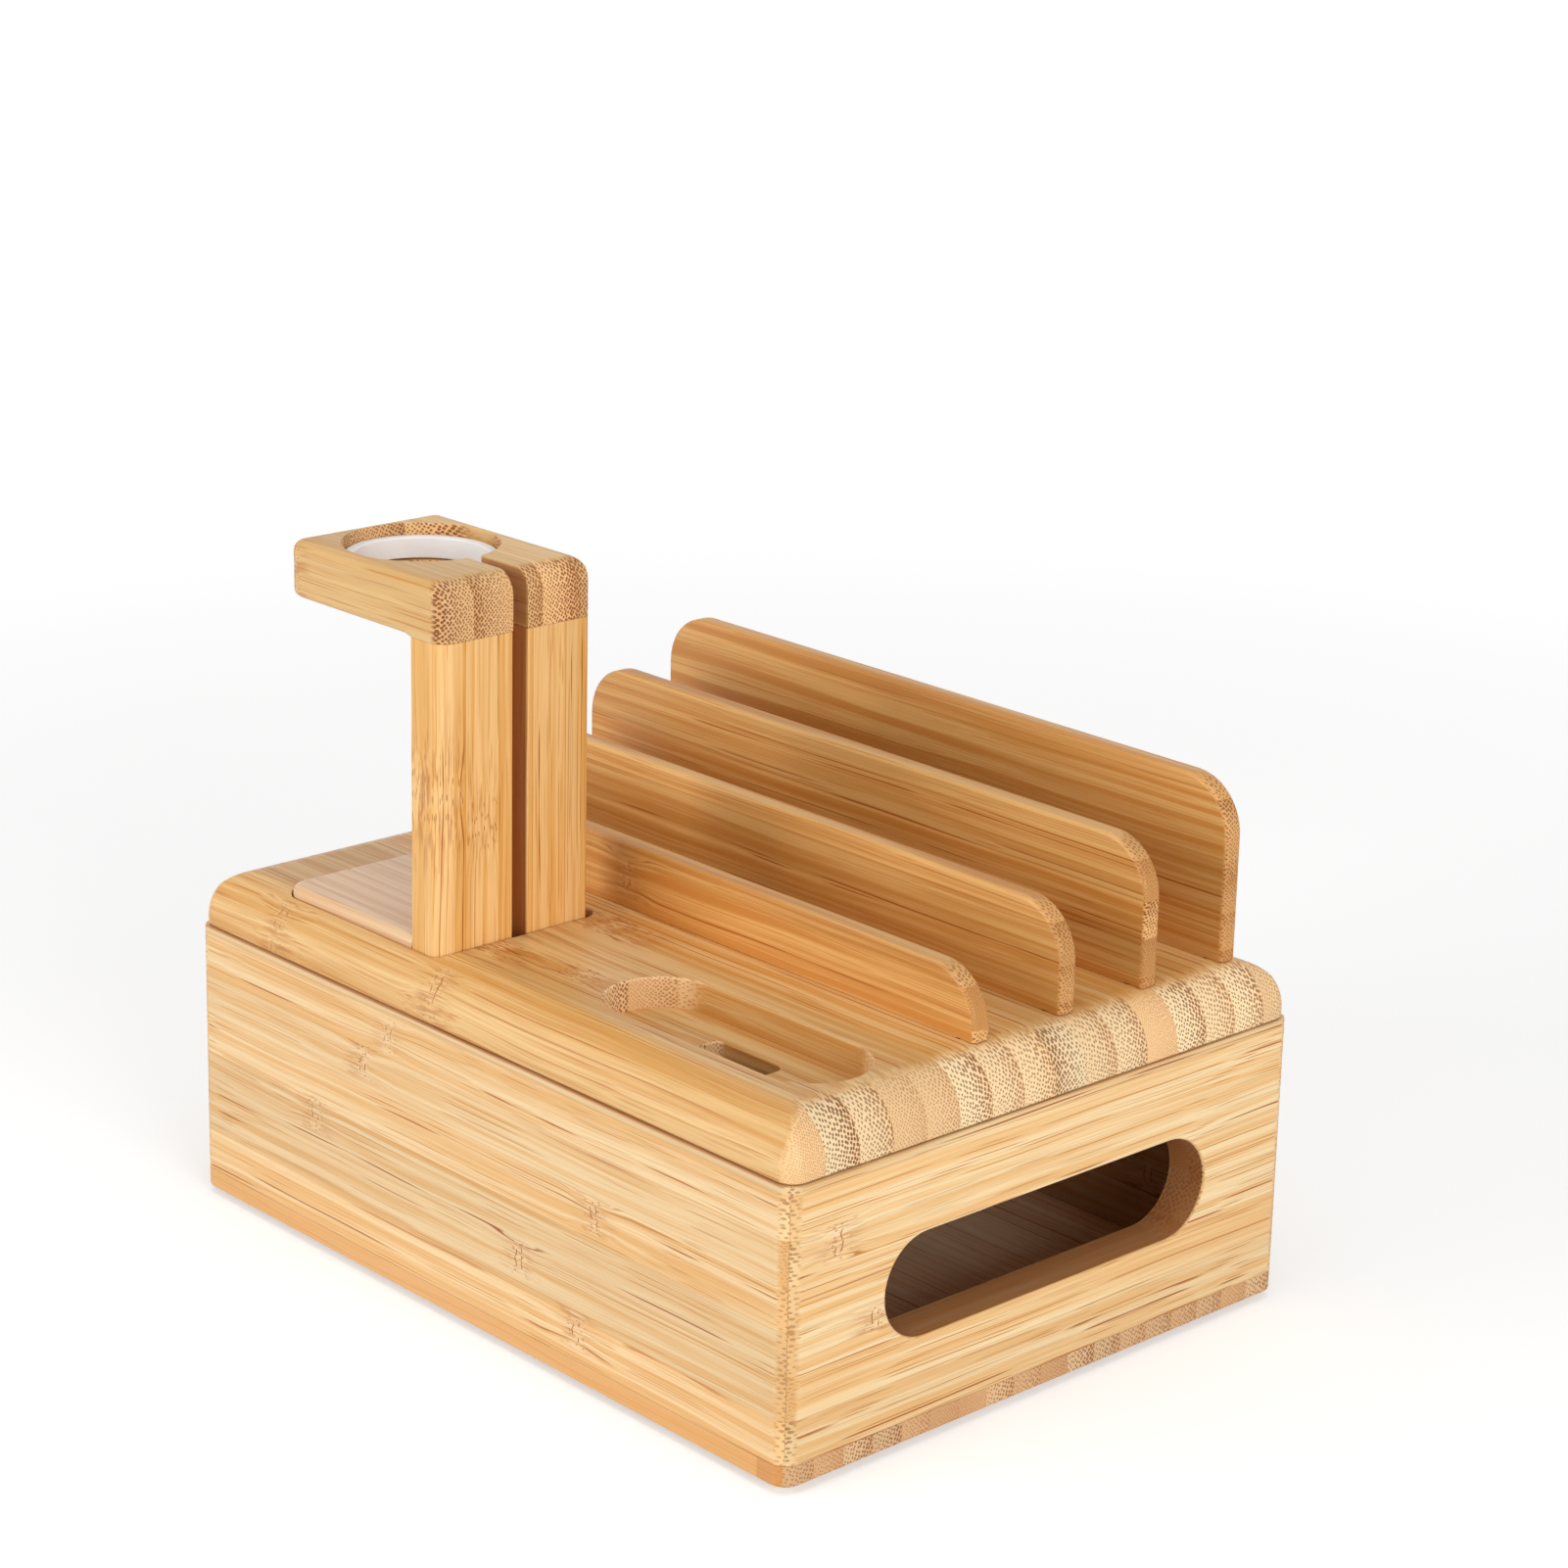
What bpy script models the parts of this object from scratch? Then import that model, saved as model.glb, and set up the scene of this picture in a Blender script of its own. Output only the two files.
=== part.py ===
"""Device organizer stand in bamboo.

A mitred box on a bottom panel holds the chargers.  Its lid lifts off, and carries four dividers
in stopped grooves, an earbud pocket and a watch stand that plugs into a routed pocket.
Metres, +Z up, X along the box, -Y to the front, origin under the middle of the box.
"""

import math

import bmesh
import bpy
from mathutils import Matrix

# Fits
gap = 0.0003                        # air between two faces that touch
overrun = 0.002                     # how far a cutter reaches past what it cuts
weld_distance = 0.000001            # joins the points of a cap to those of its wall
outline_digits = 8                  # outlines lie on a grid, so that shared planes match exactly

# Box walls and bottom panel
box_length = 0.175
box_depth = 0.130
wall_thickness = 0.009
wall_height = 0.0518
box_corner_radius = 0.0037
panel_thickness = 0.004

# Cable openings through the left and the right wall
opening_length = 0.0832
opening_height = 0.020
opening_sill = 0.0152               # from the foot of the wall to the opening

# Rubber feet, let into the panel
foot_radius = 0.0045
foot_reach = 0.0015                 # what shows below the panel
foot_recess = 0.001
foot_inset = 0.014                  # from the sides of the box to a foot's centre
foot_edge_radius = 0.0005

# Lid
lid_thickness = 0.0112
lid_setback = 0.0005                # how far the lid's sides lie behind the walls
lid_corner_radius = 0.0036
lid_lip = 0.0016                    # straight part of the lid's sides under the roundover
batten_setback = 0.0085             # from the side walls to the ends of a batten
batten_width = 0.008
batten_drop = 0.006
batten_clearance = 0.0007           # to the inner face of the wall
batten_edge_radius = 0.0012

# Cable slots through the lid, one in each bay and one in the earbud pocket
cable_slot_length = 0.0178
cable_slot_width = 0.008
cable_slot_corner_radius = 0.002

# Earbud pocket
earbud_pocket_length = 0.0614
earbud_pocket_width = 0.0218
earbud_pocket_depth = 0.006
earbud_pocket_inset = 0.0408        # from the right end of the box to the pocket's middle

# The front row, where the watch stand and the earbud pocket stand side by side
front_row_inset = 0.0239            # from the front of the box to the row's middle line
stand_inset = 0.0218                # from the left end of the box to the stand

# Dividers
divider_count = 4
divider_setback = 0.0078            # from the ends of the box to the ends of a divider
divider_thickness = 0.0041
first_divider_clearance = 0.00645   # from the stand's pocket to the first divider
last_divider_inset = 0.01068        # from the back of the box to the last divider's middle
first_divider_height = 0.013
divider_height_step = 0.00747
divider_end_radius = 0.011
divider_end_foot = 0.0018           # least straight part of a divider's end under its corner
divider_edge_radius = 0.0009
groove_depth = 0.005
tongue_setback = 0.0045             # from the end of a divider to the end of its tongue

# Watch stand: a plate in the lid's pocket, a post and an arm
stand_length = 0.0495
stand_board = 0.009                 # thickness of the plate and of the post
stand_pocket_depth = 0.0076
stand_pocket_back_room = 0.003      # finger room behind the stand
stand_corner_radius = 0.0036        # upright corners of the pocket, the plate and the post
plate_edge_radius = 0.0016
post_height = 0.0675                # from the pocket's floor
post_back_edge_radius = 0.0008
arm_setback = 0.0024                # the arm's outer end lies this far behind the plate's
arm_thickness = 0.0114
arm_cheek = 0.0027                  # wood between the charger's bore and the arm's sides
arm_nose = 0.0032                   # wood between the bore and the arm's outer end
arm_edge_radius = 0.0026            # along the top and at the upright corners of the outer end
arm_outer_end_radius = 0.003
arm_post_end_radius = 0.0047
arm_outer_heel_radius = 0.0018

# Cable way of the watch charger
cable_groove_width = 0.0035
cable_groove_depth = 0.0055
cable_groove_offset = 0.0011        # behind the middle of the post
plug_hole_length = 0.016
plug_hole_width = 0.008

# Seat of the watch charger in the arm
charger_bore_radius = 0.0151
charger_seat_depth = 0.0068         # from the arm's top to the ledge under the ring
charger_ledge_width = 0.0026
ring_wall = 0.002
ring_height = 0.0043
ring_edge_radius = 0.0004

# Dowels that pin the stand's boards together
dowel_radius = 0.002
dowel_length = 0.016
dowel_chamfer = 0.0005
dowel_grip = 0.006                  # how deep a dowel sits in its thinner board
dowel_end_room = 0.0005             # glue room beyond each end
dowel_spacing = 0.0236

# Fineness of the curved faces
corner_steps = 6
roundover_steps = 10
stadium_steps = 14
turned_steps = 40
small_turned_steps = 20
bevel_segments = 3
sharp_angle = math.radians(50)

# Levels that the sizes above lead to
panel_base_z = foot_reach
wall_base_z = panel_base_z + panel_thickness + gap
wall_top_z = wall_base_z + wall_height
lid_base_z = wall_top_z + gap
lid_half_length = box_length / 2 - lid_setback
lid_half_depth = box_depth / 2 - lid_setback

# Places on the lid that the sizes above lead to
front_row_y = front_row_inset - box_depth / 2
earbud_pocket_x = box_length / 2 - earbud_pocket_inset
stand_depth = 2 * (charger_bore_radius + arm_cheek)
stand_left_x = stand_inset - box_length / 2
stand_x = stand_left_x + stand_length / 2
stand_pocket_back_y = front_row_y + stand_depth / 2 + stand_pocket_back_room
cable_way_y = front_row_y + cable_groove_offset
first_divider_y = stand_pocket_back_y + first_divider_clearance + divider_thickness / 2
last_divider_y = box_depth / 2 - last_divider_inset
divider_pitch = (last_divider_y - first_divider_y) / (divider_count - 1)
divider_length = box_length - 2 * divider_setback
arm_length = stand_length - arm_setback

BAMBOO = (0.74, 0.47, 0.20, 1.0)
PALE_BAMBOO = (0.79, 0.55, 0.31, 1.0)
TAN_BAMBOO = (0.66, 0.40, 0.17, 1.0)
BEECH = (0.70, 0.50, 0.30, 1.0)
WHITE_SILICONE = (0.86, 0.86, 0.87, 1.0)
GREY_RUBBER = (0.08, 0.08, 0.08, 1.0)

# An outline's two directions and its depth, turned to the frame's X, Y and Z
TURNS = {
    "z": Matrix(((1, 0, 0, 0), (0, 1, 0, 0), (0, 0, 1, 0), (0, 0, 0, 1))),
    "y": Matrix(((1, 0, 0, 0), (0, 0, 1, 0), (0, 1, 0, 0), (0, 0, 0, 1))),
    "x": Matrix(((0, 0, 1, 0), (1, 0, 0, 0), (0, 1, 0, 0), (0, 0, 0, 1))),
}


def clear_scene():
    """Remove whatever the scene holds."""
    for item in list(bpy.data.objects):
        bpy.data.objects.remove(item)


def add_collection(name):
    """Return a new collection linked to the scene."""
    group = bpy.data.collections.new(name)
    bpy.context.scene.collection.children.link(group)
    return group


def add_frame(name, place, parent=None):
    """Return an empty that carries the pieces of one body; it lies on the body's slide axis."""
    empty = bpy.data.objects.new(name, None)
    empty.location = place
    empty.parent = parent
    empty.empty_display_size = batten_drop
    parts.objects.link(empty)
    return empty


def finish(name, colour, roughness):
    """Return a plain Principled material."""
    material = bpy.data.materials.new(name)
    material.use_nodes = True
    shader = material.node_tree.nodes["Principled BSDF"]
    shader.inputs["Base Color"].default_value = colour
    shader.inputs["Roughness"].default_value = roughness
    shader.inputs["Metallic"].default_value = 0.0
    material.diffuse_color = colour
    return material


def arc(centre, radius, start, end, steps):
    """Return the points of an arc between two angles in degrees, both ends included."""
    points = []
    for step in range(steps + 1):
        angle = math.radians(start + (end - start) * step / steps)
        across = centre[0] + radius * math.cos(angle)
        up = centre[1] + radius * math.sin(angle)
        points.append((across, up))
    return points


def rounded_rectangle(low, high, radii, steps=corner_steps):
    """Return a rectangle's outline; radii follow low-low, high-low, high-high, low-high."""
    corners = (
        (low[0], low[1], 1, 1, 180),
        (high[0], low[1], -1, 1, 270),
        (high[0], high[1], -1, -1, 0),
        (low[0], high[1], 1, -1, 90),
    )
    points = []
    for (across, up, inward, upward, start), radius in zip(corners, radii):
        if radius:
            centre = (across + inward * radius, up + upward * radius)
            points += arc(centre, radius, start, start + 90, steps)
        else:
            points.append((across, up))
    return points


def stadium(centre, length, width):
    """Return a slot outline with full round ends, long along its first direction."""
    radius = width / 2
    reach = length / 2 - radius
    right = arc((centre[0] + reach, centre[1]), radius, -90, 90, stadium_steps)
    left = arc((centre[0] - reach, centre[1]), radius, 90, 270, stadium_steps)
    return right + left


def add_mesh_object(name, body, frame, group):
    """Turn a bmesh into an object of a frame."""
    mesh = bpy.data.meshes.new(name)
    body.to_mesh(mesh)
    body.free()
    piece = bpy.data.objects.new(name, mesh)
    piece.parent = frame
    group.objects.link(piece)
    if group == cutters:
        piece.hide_render = True
        piece.display_type = "WIRE"
    return piece


def prism(name, frame, outline, axis, start, end, group):
    """Fill an outline and extrude it from start to end along the frame's x, y or z."""
    curve = bpy.data.curves.new(name, "CURVE")
    curve.dimensions = "2D"
    curve.fill_mode = "BOTH"
    curve.extrude = (end - start) / 2
    spline = curve.splines.new("POLY")
    spline.points.add(len(outline) - 1)
    for point, (across, up) in zip(spline.points, outline):
        point.co = (round(across, outline_digits), round(up, outline_digits), 0, 1)
    spline.use_cyclic_u = True
    drawing = bpy.data.objects.new(name, curve)
    group.objects.link(drawing)
    filled = drawing.evaluated_get(bpy.context.evaluated_depsgraph_get())
    mesh = bpy.data.meshes.new_from_object(filled)
    bpy.data.objects.remove(drawing)
    bpy.data.curves.remove(curve)

    body = bmesh.new()
    body.from_mesh(mesh)
    bpy.data.meshes.remove(mesh)
    bmesh.ops.remove_doubles(body, verts=body.verts, dist=weld_distance)
    bmesh.ops.translate(body, verts=body.verts, vec=(0, 0, (start + end) / 2))
    bmesh.ops.transform(body, verts=body.verts, matrix=TURNS[axis])
    bmesh.ops.recalc_face_normals(body, faces=body.faces)
    return add_mesh_object(name, body, frame, group)


def turned(name, frame, profile, place, axis, steps, group):
    """Screw a profile, listed down its outer side, round an axis through place."""
    mesh = bpy.data.meshes.new(name)
    edges = [(index, index + 1) for index in range(len(profile) - 1)]
    if profile[0][0]:
        edges.append((len(profile) - 1, 0))
    mesh.from_pydata([(radius, 0, height) for radius, height in profile], edges, [])
    piece = bpy.data.objects.new(name, mesh)
    piece.parent = frame
    piece.location = place
    if axis == "x":
        piece.rotation_euler = (0, math.radians(90), 0)
    group.objects.link(piece)
    screw = piece.modifiers.new("turned", "SCREW")
    screw.steps = steps
    screw.render_steps = steps
    screw.use_merge_vertices = True
    screw.merge_threshold = weld_distance
    if group == cutters:
        piece.hide_render = True
        piece.display_type = "WIRE"
    return piece


def cut(piece, cutter, operation="DIFFERENCE"):
    """Cut a piece with another solid, or keep only what both share."""
    boolean = piece.modifiers.new(cutter.name, "BOOLEAN")
    boolean.operation = operation
    boolean.solver = "EXACT"
    boolean.object = cutter


def round_edges(piece, radius, share_at):
    """Bevel the sharp edges; share_at gives an edge's share of the radius from its middle."""
    body = bmesh.new()
    body.from_mesh(piece.data)
    weight = body.edges.layers.float.new("bevel_weight_edge")
    for edge in body.edges:
        if edge.calc_face_angle(0) > sharp_angle:
            middle = (edge.verts[0].co + edge.verts[1].co) / 2
            edge[weight] = share_at(middle)
    body.to_mesh(piece.data)
    body.free()
    bevel = piece.modifiers.new("rounded_edges", "BEVEL")
    bevel.limit_method = "WEIGHT"
    bevel.width = radius
    bevel.segments = bevel_segments
    bevel.use_clamp_overlap = False


def dress(piece, material):
    """Give a piece its material and smooth shading that keeps its sharp edges."""
    piece.data.materials.append(material)
    piece.data.shade_smooth()
    piece.data.set_sharp_from_angle(angle=sharp_angle)
    return piece


def foot_places():
    """Yield each foot's name ending with its centre under the panel."""
    reach_x = box_length / 2 - foot_inset
    reach_y = box_depth / 2 - foot_inset
    for depth_name, y in (("front", -reach_y), ("back", reach_y)):
        for side_name, x in (("left", -reach_x), ("right", reach_x)):
            yield depth_name + "_" + side_name, x, y


def bay_centres():
    """Return the middle of each bay between two dividers."""
    return [first_divider_y + (bay + 0.5) * divider_pitch for bay in range(divider_count - 1)]


def build_panel():
    """Bottom panel with a round recess for each foot."""
    low = (-box_length / 2, -box_depth / 2)
    high = (box_length / 2, box_depth / 2)
    outline = rounded_rectangle(low, high, [box_corner_radius] * 4)
    top = panel_base_z + panel_thickness
    panel = prism("bottom_panel", box_frame, outline, "z", panel_base_z, top, parts)
    for ending, x, y in foot_places():
        recess = turned(
            "foot_recess_" + ending,
            box_frame,
            pin_profile(foot_radius + gap, -overrun, foot_recess, 0),
            (x, y, panel_base_z),
            "z",
            turned_steps,
            cutters,
        )
        cut(panel, recess)
    dress(panel, finish("panel_bamboo", BAMBOO, 0.5))


def pin_profile(radius, bottom, top, chamfer):
    """Return half the section of a round pin, from its top centre down to its bottom centre."""
    if not chamfer:
        return [(0, top), (radius, top), (radius, bottom), (0, bottom)]
    return [
        (0, top),
        (radius - chamfer, top),
        (radius, top - chamfer),
        (radius, bottom + chamfer),
        (radius - chamfer, bottom),
        (0, bottom),
    ]


def build_feet():
    """Four rubber feet with a rounded lower rim, seated in the panel's recesses."""
    rubber = finish("foot_rubber", GREY_RUBBER, 0.7)
    top = foot_reach + foot_recess - gap
    rim_centre = (foot_radius - foot_edge_radius, foot_edge_radius)
    rim = arc(rim_centre, foot_edge_radius, 0, -90, bevel_segments)
    profile = [(0, top), (foot_radius, top)] + rim + [(0, 0)]
    for ending, x, y in foot_places():
        foot = turned("foot_" + ending, box_frame, profile, (x, y, 0), "z", turned_steps, parts)
        dress(foot, rubber)


def wall_outline(length):
    """Plan of a wall as if it stood at the front: outer face, rounded mitre ends, inner face."""
    half = length / 2
    mitre_gap = gap / math.sqrt(2)
    centre = (half - box_corner_radius, box_corner_radius)
    mitre_end = -45 - math.degrees(math.asin(gap / (2 * box_corner_radius)))
    right = arc(centre, box_corner_radius, -90, mitre_end, corner_steps)
    right.append((half - wall_thickness - mitre_gap, wall_thickness))
    left = [(-across, up) for across, up in reversed(right)]
    return right + left


def build_walls():
    """Four mitred walls; the left and the right one have a long cable opening."""
    bamboo = finish("wall_bamboo", BAMBOO, 0.5)
    half_length = box_length / 2
    half_depth = box_depth / 2
    along_front = wall_outline(box_length)
    along_side = wall_outline(box_depth)
    outlines = {
        "front_wall": [(across, up - half_depth) for across, up in along_front],
        "back_wall": [(-across, half_depth - up) for across, up in along_front],
        "right_wall": [(half_length - up, across) for across, up in along_side],
        "left_wall": [(up - half_length, -across) for across, up in along_side],
    }
    opening_z = wall_base_z + opening_sill + opening_height / 2
    opening = stadium((0, opening_z), opening_length, opening_height)
    for name, outline in outlines.items():
        wall = prism(name, box_frame, outline, "z", wall_base_z, wall_top_z, parts)
        if name in ("left_wall", "right_wall"):
            outer = half_length if name == "right_wall" else -half_length
            inner = outer - math.copysign(wall_thickness, outer)
            start = min(outer, inner) - overrun
            end = max(outer, inner) + overrun
            cut(wall, prism(name + "_opening", box_frame, opening, "x", start, end, cutters))
        dress(wall, bamboo)


def build_lid():
    """Lid board with a large roundover, stopped grooves, pockets and cable slots."""
    reach_x = lid_half_length
    reach_y = lid_half_depth
    roundover = lid_thickness - lid_lip
    rounded = [0, 0, roundover, roundover]
    front = rounded_rectangle((-reach_x, 0), (reach_x, lid_thickness), rounded, roundover_steps)
    side = rounded_rectangle((-reach_y, 0), (reach_y, lid_thickness), rounded, roundover_steps)
    plan = rounded_rectangle((-reach_x, -reach_y), (reach_x, reach_y), [lid_corner_radius] * 4)
    past_x = reach_x + overrun
    past_y = reach_y + overrun
    past_top = lid_thickness + overrun
    lid = prism("lid_panel", lid_frame, front, "y", -past_y, past_y, parts)
    cut(lid, prism("lid_plan", lid_frame, plan, "z", -overrun, past_top, cutters), "INTERSECT")
    cut(lid, prism("lid_side", lid_frame, side, "x", -past_x, past_x, cutters), "INTERSECT")

    for index in range(divider_count):
        y = first_divider_y + index * divider_pitch
        width = divider_thickness + 2 * gap
        length = divider_length - 2 * tongue_setback + width
        groove = stadium((0, y), length, width)
        name = "groove_" + str(index + 1)
        floor = lid_thickness - groove_depth - gap
        cut(lid, prism(name, lid_frame, groove, "z", floor, past_top, cutters))

    low = (stand_left_x - gap, front_row_y - stand_depth / 2 - gap)
    high = (stand_left_x + stand_length + gap, stand_pocket_back_y)
    pocket = rounded_rectangle(low, high, [stand_corner_radius] * 4)
    floor = lid_thickness - stand_pocket_depth
    cut(lid, prism("stand_pocket", lid_frame, pocket, "z", floor, past_top, cutters))
    plug_x = high[0] - plug_hole_length / 2
    plug = stadium((plug_x, cable_way_y), plug_hole_length, plug_hole_width)
    cut(lid, prism("plug_hole", lid_frame, plug, "z", -overrun, floor + overrun, cutters))

    centre = (earbud_pocket_x, front_row_y)
    earbuds = stadium(centre, earbud_pocket_length, earbud_pocket_width)
    floor = lid_thickness - earbud_pocket_depth
    cut(lid, prism("earbud_pocket", lid_frame, earbuds, "z", floor, past_top, cutters))

    slots = [(earbud_pocket_x, front_row_y)] + [(0, y) for y in bay_centres()]
    for index, (x, y) in enumerate(slots):
        low = (x - cable_slot_length / 2, y - cable_slot_width / 2)
        high = (x + cable_slot_length / 2, y + cable_slot_width / 2)
        slot = rounded_rectangle(low, high, [cable_slot_corner_radius] * 4)
        name = "cable_slot_" + str(index + 1)
        cut(lid, prism(name, lid_frame, slot, "z", -overrun, past_top, cutters))
    dress(lid, finish("lid_bamboo", PALE_BAMBOO, 0.45))


def build_battens():
    """Two battens under the lid that drop between the front and the back wall."""
    bamboo = finish("batten_bamboo", BAMBOO, 0.55)
    reach = box_length / 2 - wall_thickness - batten_setback
    outer = box_depth / 2 - wall_thickness - batten_clearance
    top = -gap
    bottom = top - batten_drop
    heel = batten_edge_radius
    for name, side in (("lid_batten_front", -1), ("lid_batten_back", 1)):
        low = min(side * outer, side * (outer - batten_width))
        outline = rounded_rectangle((low, bottom), (low + batten_width, top), [heel, heel, 0, 0])
        dress(prism(name, lid_frame, outline, "x", -reach, reach, parts), bamboo)


def divider_outline(height):
    """Front view of a divider: tongue, shoulders and round upper corners."""
    half = divider_length / 2
    tongue = half - tongue_setback
    right = [(tongue, -groove_depth), (tongue, gap), (half, gap)]
    radius = min(divider_end_radius, height - divider_end_foot)
    right += arc((half - radius, height - radius), radius, 0, 90, stadium_steps)
    left = [(-across, up) for across, up in reversed(right)]
    return right + left


def build_dividers():
    """Four dividers, each taller than the one before, in grooves across the lid."""
    bamboo = finish("divider_bamboo", TAN_BAMBOO, 0.45)
    half = divider_thickness / 2
    for index in range(divider_count):
        height = first_divider_height + index * divider_height_step
        name = "divider_" + str(index + 1)
        divider = prism(name, divider_frames[index], divider_outline(height), "y", -half, half, parts)
        round_edges(divider, divider_edge_radius, lambda middle: float(middle.z > gap + weld_distance))
        dress(divider, bamboo)


def dowel_pairs():
    """Yield each dowel's name ending with its place across the stand."""
    return (("front", -dowel_spacing / 2), ("back", dowel_spacing / 2))


def build_stand():
    """Watch stand: plate, post, arm, charger ring and the dowels between them."""
    bamboo = finish("stand_bamboo", BAMBOO, 0.45)
    beech = finish("dowel_beech", BEECH, 0.6)
    half_x = stand_length / 2
    half_y = stand_depth / 2
    post_x = half_x - stand_board
    plate_top = stand_board
    arm_base = post_height + gap
    arm_top = arm_base + arm_thickness

    low = (-half_x, -half_y)
    high = (post_x - gap, half_y)
    corners = [stand_corner_radius, 0, 0, stand_corner_radius]
    plan = rounded_rectangle(low, high, corners)
    plate = prism("stand_base", stand_frame, plan, "z", gap, plate_top, parts)
    joint = high[0] - weld_distance
    round_edges(
        plate,
        plate_edge_radius,
        lambda middle: float(middle.z > plate_top - weld_distance and middle.x < joint),
    )

    corners = [0, stand_corner_radius, post_back_edge_radius, 0]
    plan = rounded_rectangle((post_x, -half_y), (half_x, half_y), corners)
    post = prism("stand_post", stand_frame, plan, "z", gap, post_height, parts)

    arm_left = half_x - arm_length
    ends = [arm_outer_heel_radius, 0, arm_post_end_radius, arm_outer_end_radius]
    front = rounded_rectangle((arm_left, arm_base), (half_x, arm_top), ends)
    past_y = half_y + overrun
    arm = prism("stand_arm", stand_frame, front, "y", -past_y, past_y, parts)
    edge = arm_edge_radius
    corners = [edge, stand_corner_radius, post_back_edge_radius, edge]
    plan = rounded_rectangle((arm_left, -half_y), (half_x, half_y), corners)
    past_arm = arm_top + overrun
    plan_cutter = prism("arm_plan", stand_frame, plan, "z", arm_base - overrun, past_arm, cutters)
    cut(arm, plan_cutter, "INTERSECT")
    side = rounded_rectangle((-half_y, arm_base - overrun), (half_y, arm_top), [0, 0, edge, edge])
    past_x = half_x + overrun
    side_cutter = prism("arm_side", stand_frame, side, "x", arm_left - overrun, past_x, cutters)
    cut(arm, side_cutter, "INTERSECT")

    groove_low = cable_groove_offset - cable_groove_width / 2
    groove_high = groove_low + cable_groove_width
    groove = [
        (half_x - cable_groove_depth, groove_low),
        (past_x, groove_low),
        (past_x, groove_high),
        (half_x - cable_groove_depth, groove_high),
    ]
    past_post = post_height + overrun
    cut(post, prism("post_groove", stand_frame, groove, "z", -overrun, past_post, cutters))

    bore_x = half_x - arm_length + arm_nose + charger_bore_radius
    seat_z = arm_top - charger_seat_depth
    slot = [
        (bore_x, groove_low),
        (past_x, groove_low),
        (past_x, groove_high),
        (bore_x, groove_high),
    ]
    bore_place = (bore_x, 0, 0)
    ledge_radius = charger_bore_radius - charger_ledge_width
    past_base = arm_base - overrun
    bore = [
        (0, past_arm),
        (charger_bore_radius, past_arm),
        (charger_bore_radius, seat_z),
        (ledge_radius, seat_z),
        (ledge_radius, past_base),
        (0, past_base),
    ]
    slot_cutter = prism("arm_slot", stand_frame, slot, "z", past_base, past_arm, cutters)
    cut(arm, turned("charger_bore", stand_frame, bore, bore_place, "z", turned_steps, cutters))
    cut(arm, slot_cutter)

    outer = charger_bore_radius - gap
    ring_low = (outer - ring_wall, seat_z + gap)
    ring_high = (outer, seat_z + gap + ring_height)
    section = rounded_rectangle(ring_low, ring_high, [ring_edge_radius] * 4, bevel_segments)
    section.reverse()
    ring = turned("charger_ring", stand_frame, section, bore_place, "z", turned_steps, parts)
    cut(ring, slot_cutter)

    plate_dowel_start = post_x + dowel_grip - dowel_length
    arm_dowel_start = arm_base + dowel_grip - dowel_length
    for ending, y in dowel_pairs():
        lying = (plate_dowel_start, y, plate_top / 2)
        upright = (post_x + stand_board / 2, y, arm_dowel_start)
        holes = []
        for name, place, axis in (("base_dowel_", lying, "x"), ("arm_dowel_", upright, "z")):
            pin = pin_profile(dowel_radius, 0, dowel_length, dowel_chamfer)
            dowel = turned(name + ending, stand_frame, pin, place, axis, small_turned_steps, parts)
            dress(dowel, beech)
            hole_end = dowel_length + dowel_end_room
            hole = pin_profile(dowel_radius + gap, -dowel_end_room, hole_end, 0)
            hole_name = name + ending + "_hole"
            cutter = turned(hole_name, stand_frame, hole, place, axis, small_turned_steps, cutters)
            holes.append(cutter)
        cut(plate, holes[0])
        cut(post, holes[0])
        cut(post, holes[1])
        cut(arm, holes[1])

    dress(plate, bamboo)
    dress(post, bamboo)
    dress(arm, bamboo)
    dress(ring, finish("ring_silicone", WHITE_SILICONE, 0.4))


clear_scene()
parts = add_collection("device_organizer_stand")
cutters = add_collection("cutters")
box_frame = add_frame("box", (0, 0, 0))
lid_frame = add_frame("lid_lift", (0, 0, lid_base_z), box_frame)
divider_frames = [
    add_frame(
        "divider_lift_" + str(index + 1),
        (0, first_divider_y + index * divider_pitch, lid_thickness),
        lid_frame,
    )
    for index in range(divider_count)
]
stand_frame = add_frame(
    "stand_lift",
    (stand_x, front_row_y, lid_thickness - stand_pocket_depth),
    lid_frame,
)
build_panel()
build_feet()
build_walls()
build_lid()
build_battens()
build_dividers()
build_stand()
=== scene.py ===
"""Device organizer stand in laminated bamboo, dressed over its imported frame.

Metres, +Z up, X along the box, -Y to the front, origin under the middle of the box.  The finishes
work in millimetres on each piece's own coordinates, so their grain stays with the wood.
"""

import logging
import math
from collections.abc import Callable, Iterable, Sequence
from dataclasses import asdict, dataclass
from enum import Enum
from functools import cache
from typing import Any

import bmesh
import bpy
from mathutils import Matrix, Vector


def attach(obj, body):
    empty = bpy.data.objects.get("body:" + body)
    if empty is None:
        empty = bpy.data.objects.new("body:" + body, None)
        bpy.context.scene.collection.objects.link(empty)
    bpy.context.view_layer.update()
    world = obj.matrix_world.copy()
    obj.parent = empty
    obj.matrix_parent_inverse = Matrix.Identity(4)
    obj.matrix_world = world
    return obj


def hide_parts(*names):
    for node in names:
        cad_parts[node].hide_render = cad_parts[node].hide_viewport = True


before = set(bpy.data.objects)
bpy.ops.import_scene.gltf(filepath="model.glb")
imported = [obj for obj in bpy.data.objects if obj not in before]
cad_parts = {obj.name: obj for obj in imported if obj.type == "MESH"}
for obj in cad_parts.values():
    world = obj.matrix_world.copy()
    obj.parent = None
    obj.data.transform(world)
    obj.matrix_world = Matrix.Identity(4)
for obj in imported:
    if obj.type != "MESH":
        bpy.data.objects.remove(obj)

logging.basicConfig(level=logging.INFO, format="%(message)s")
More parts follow.
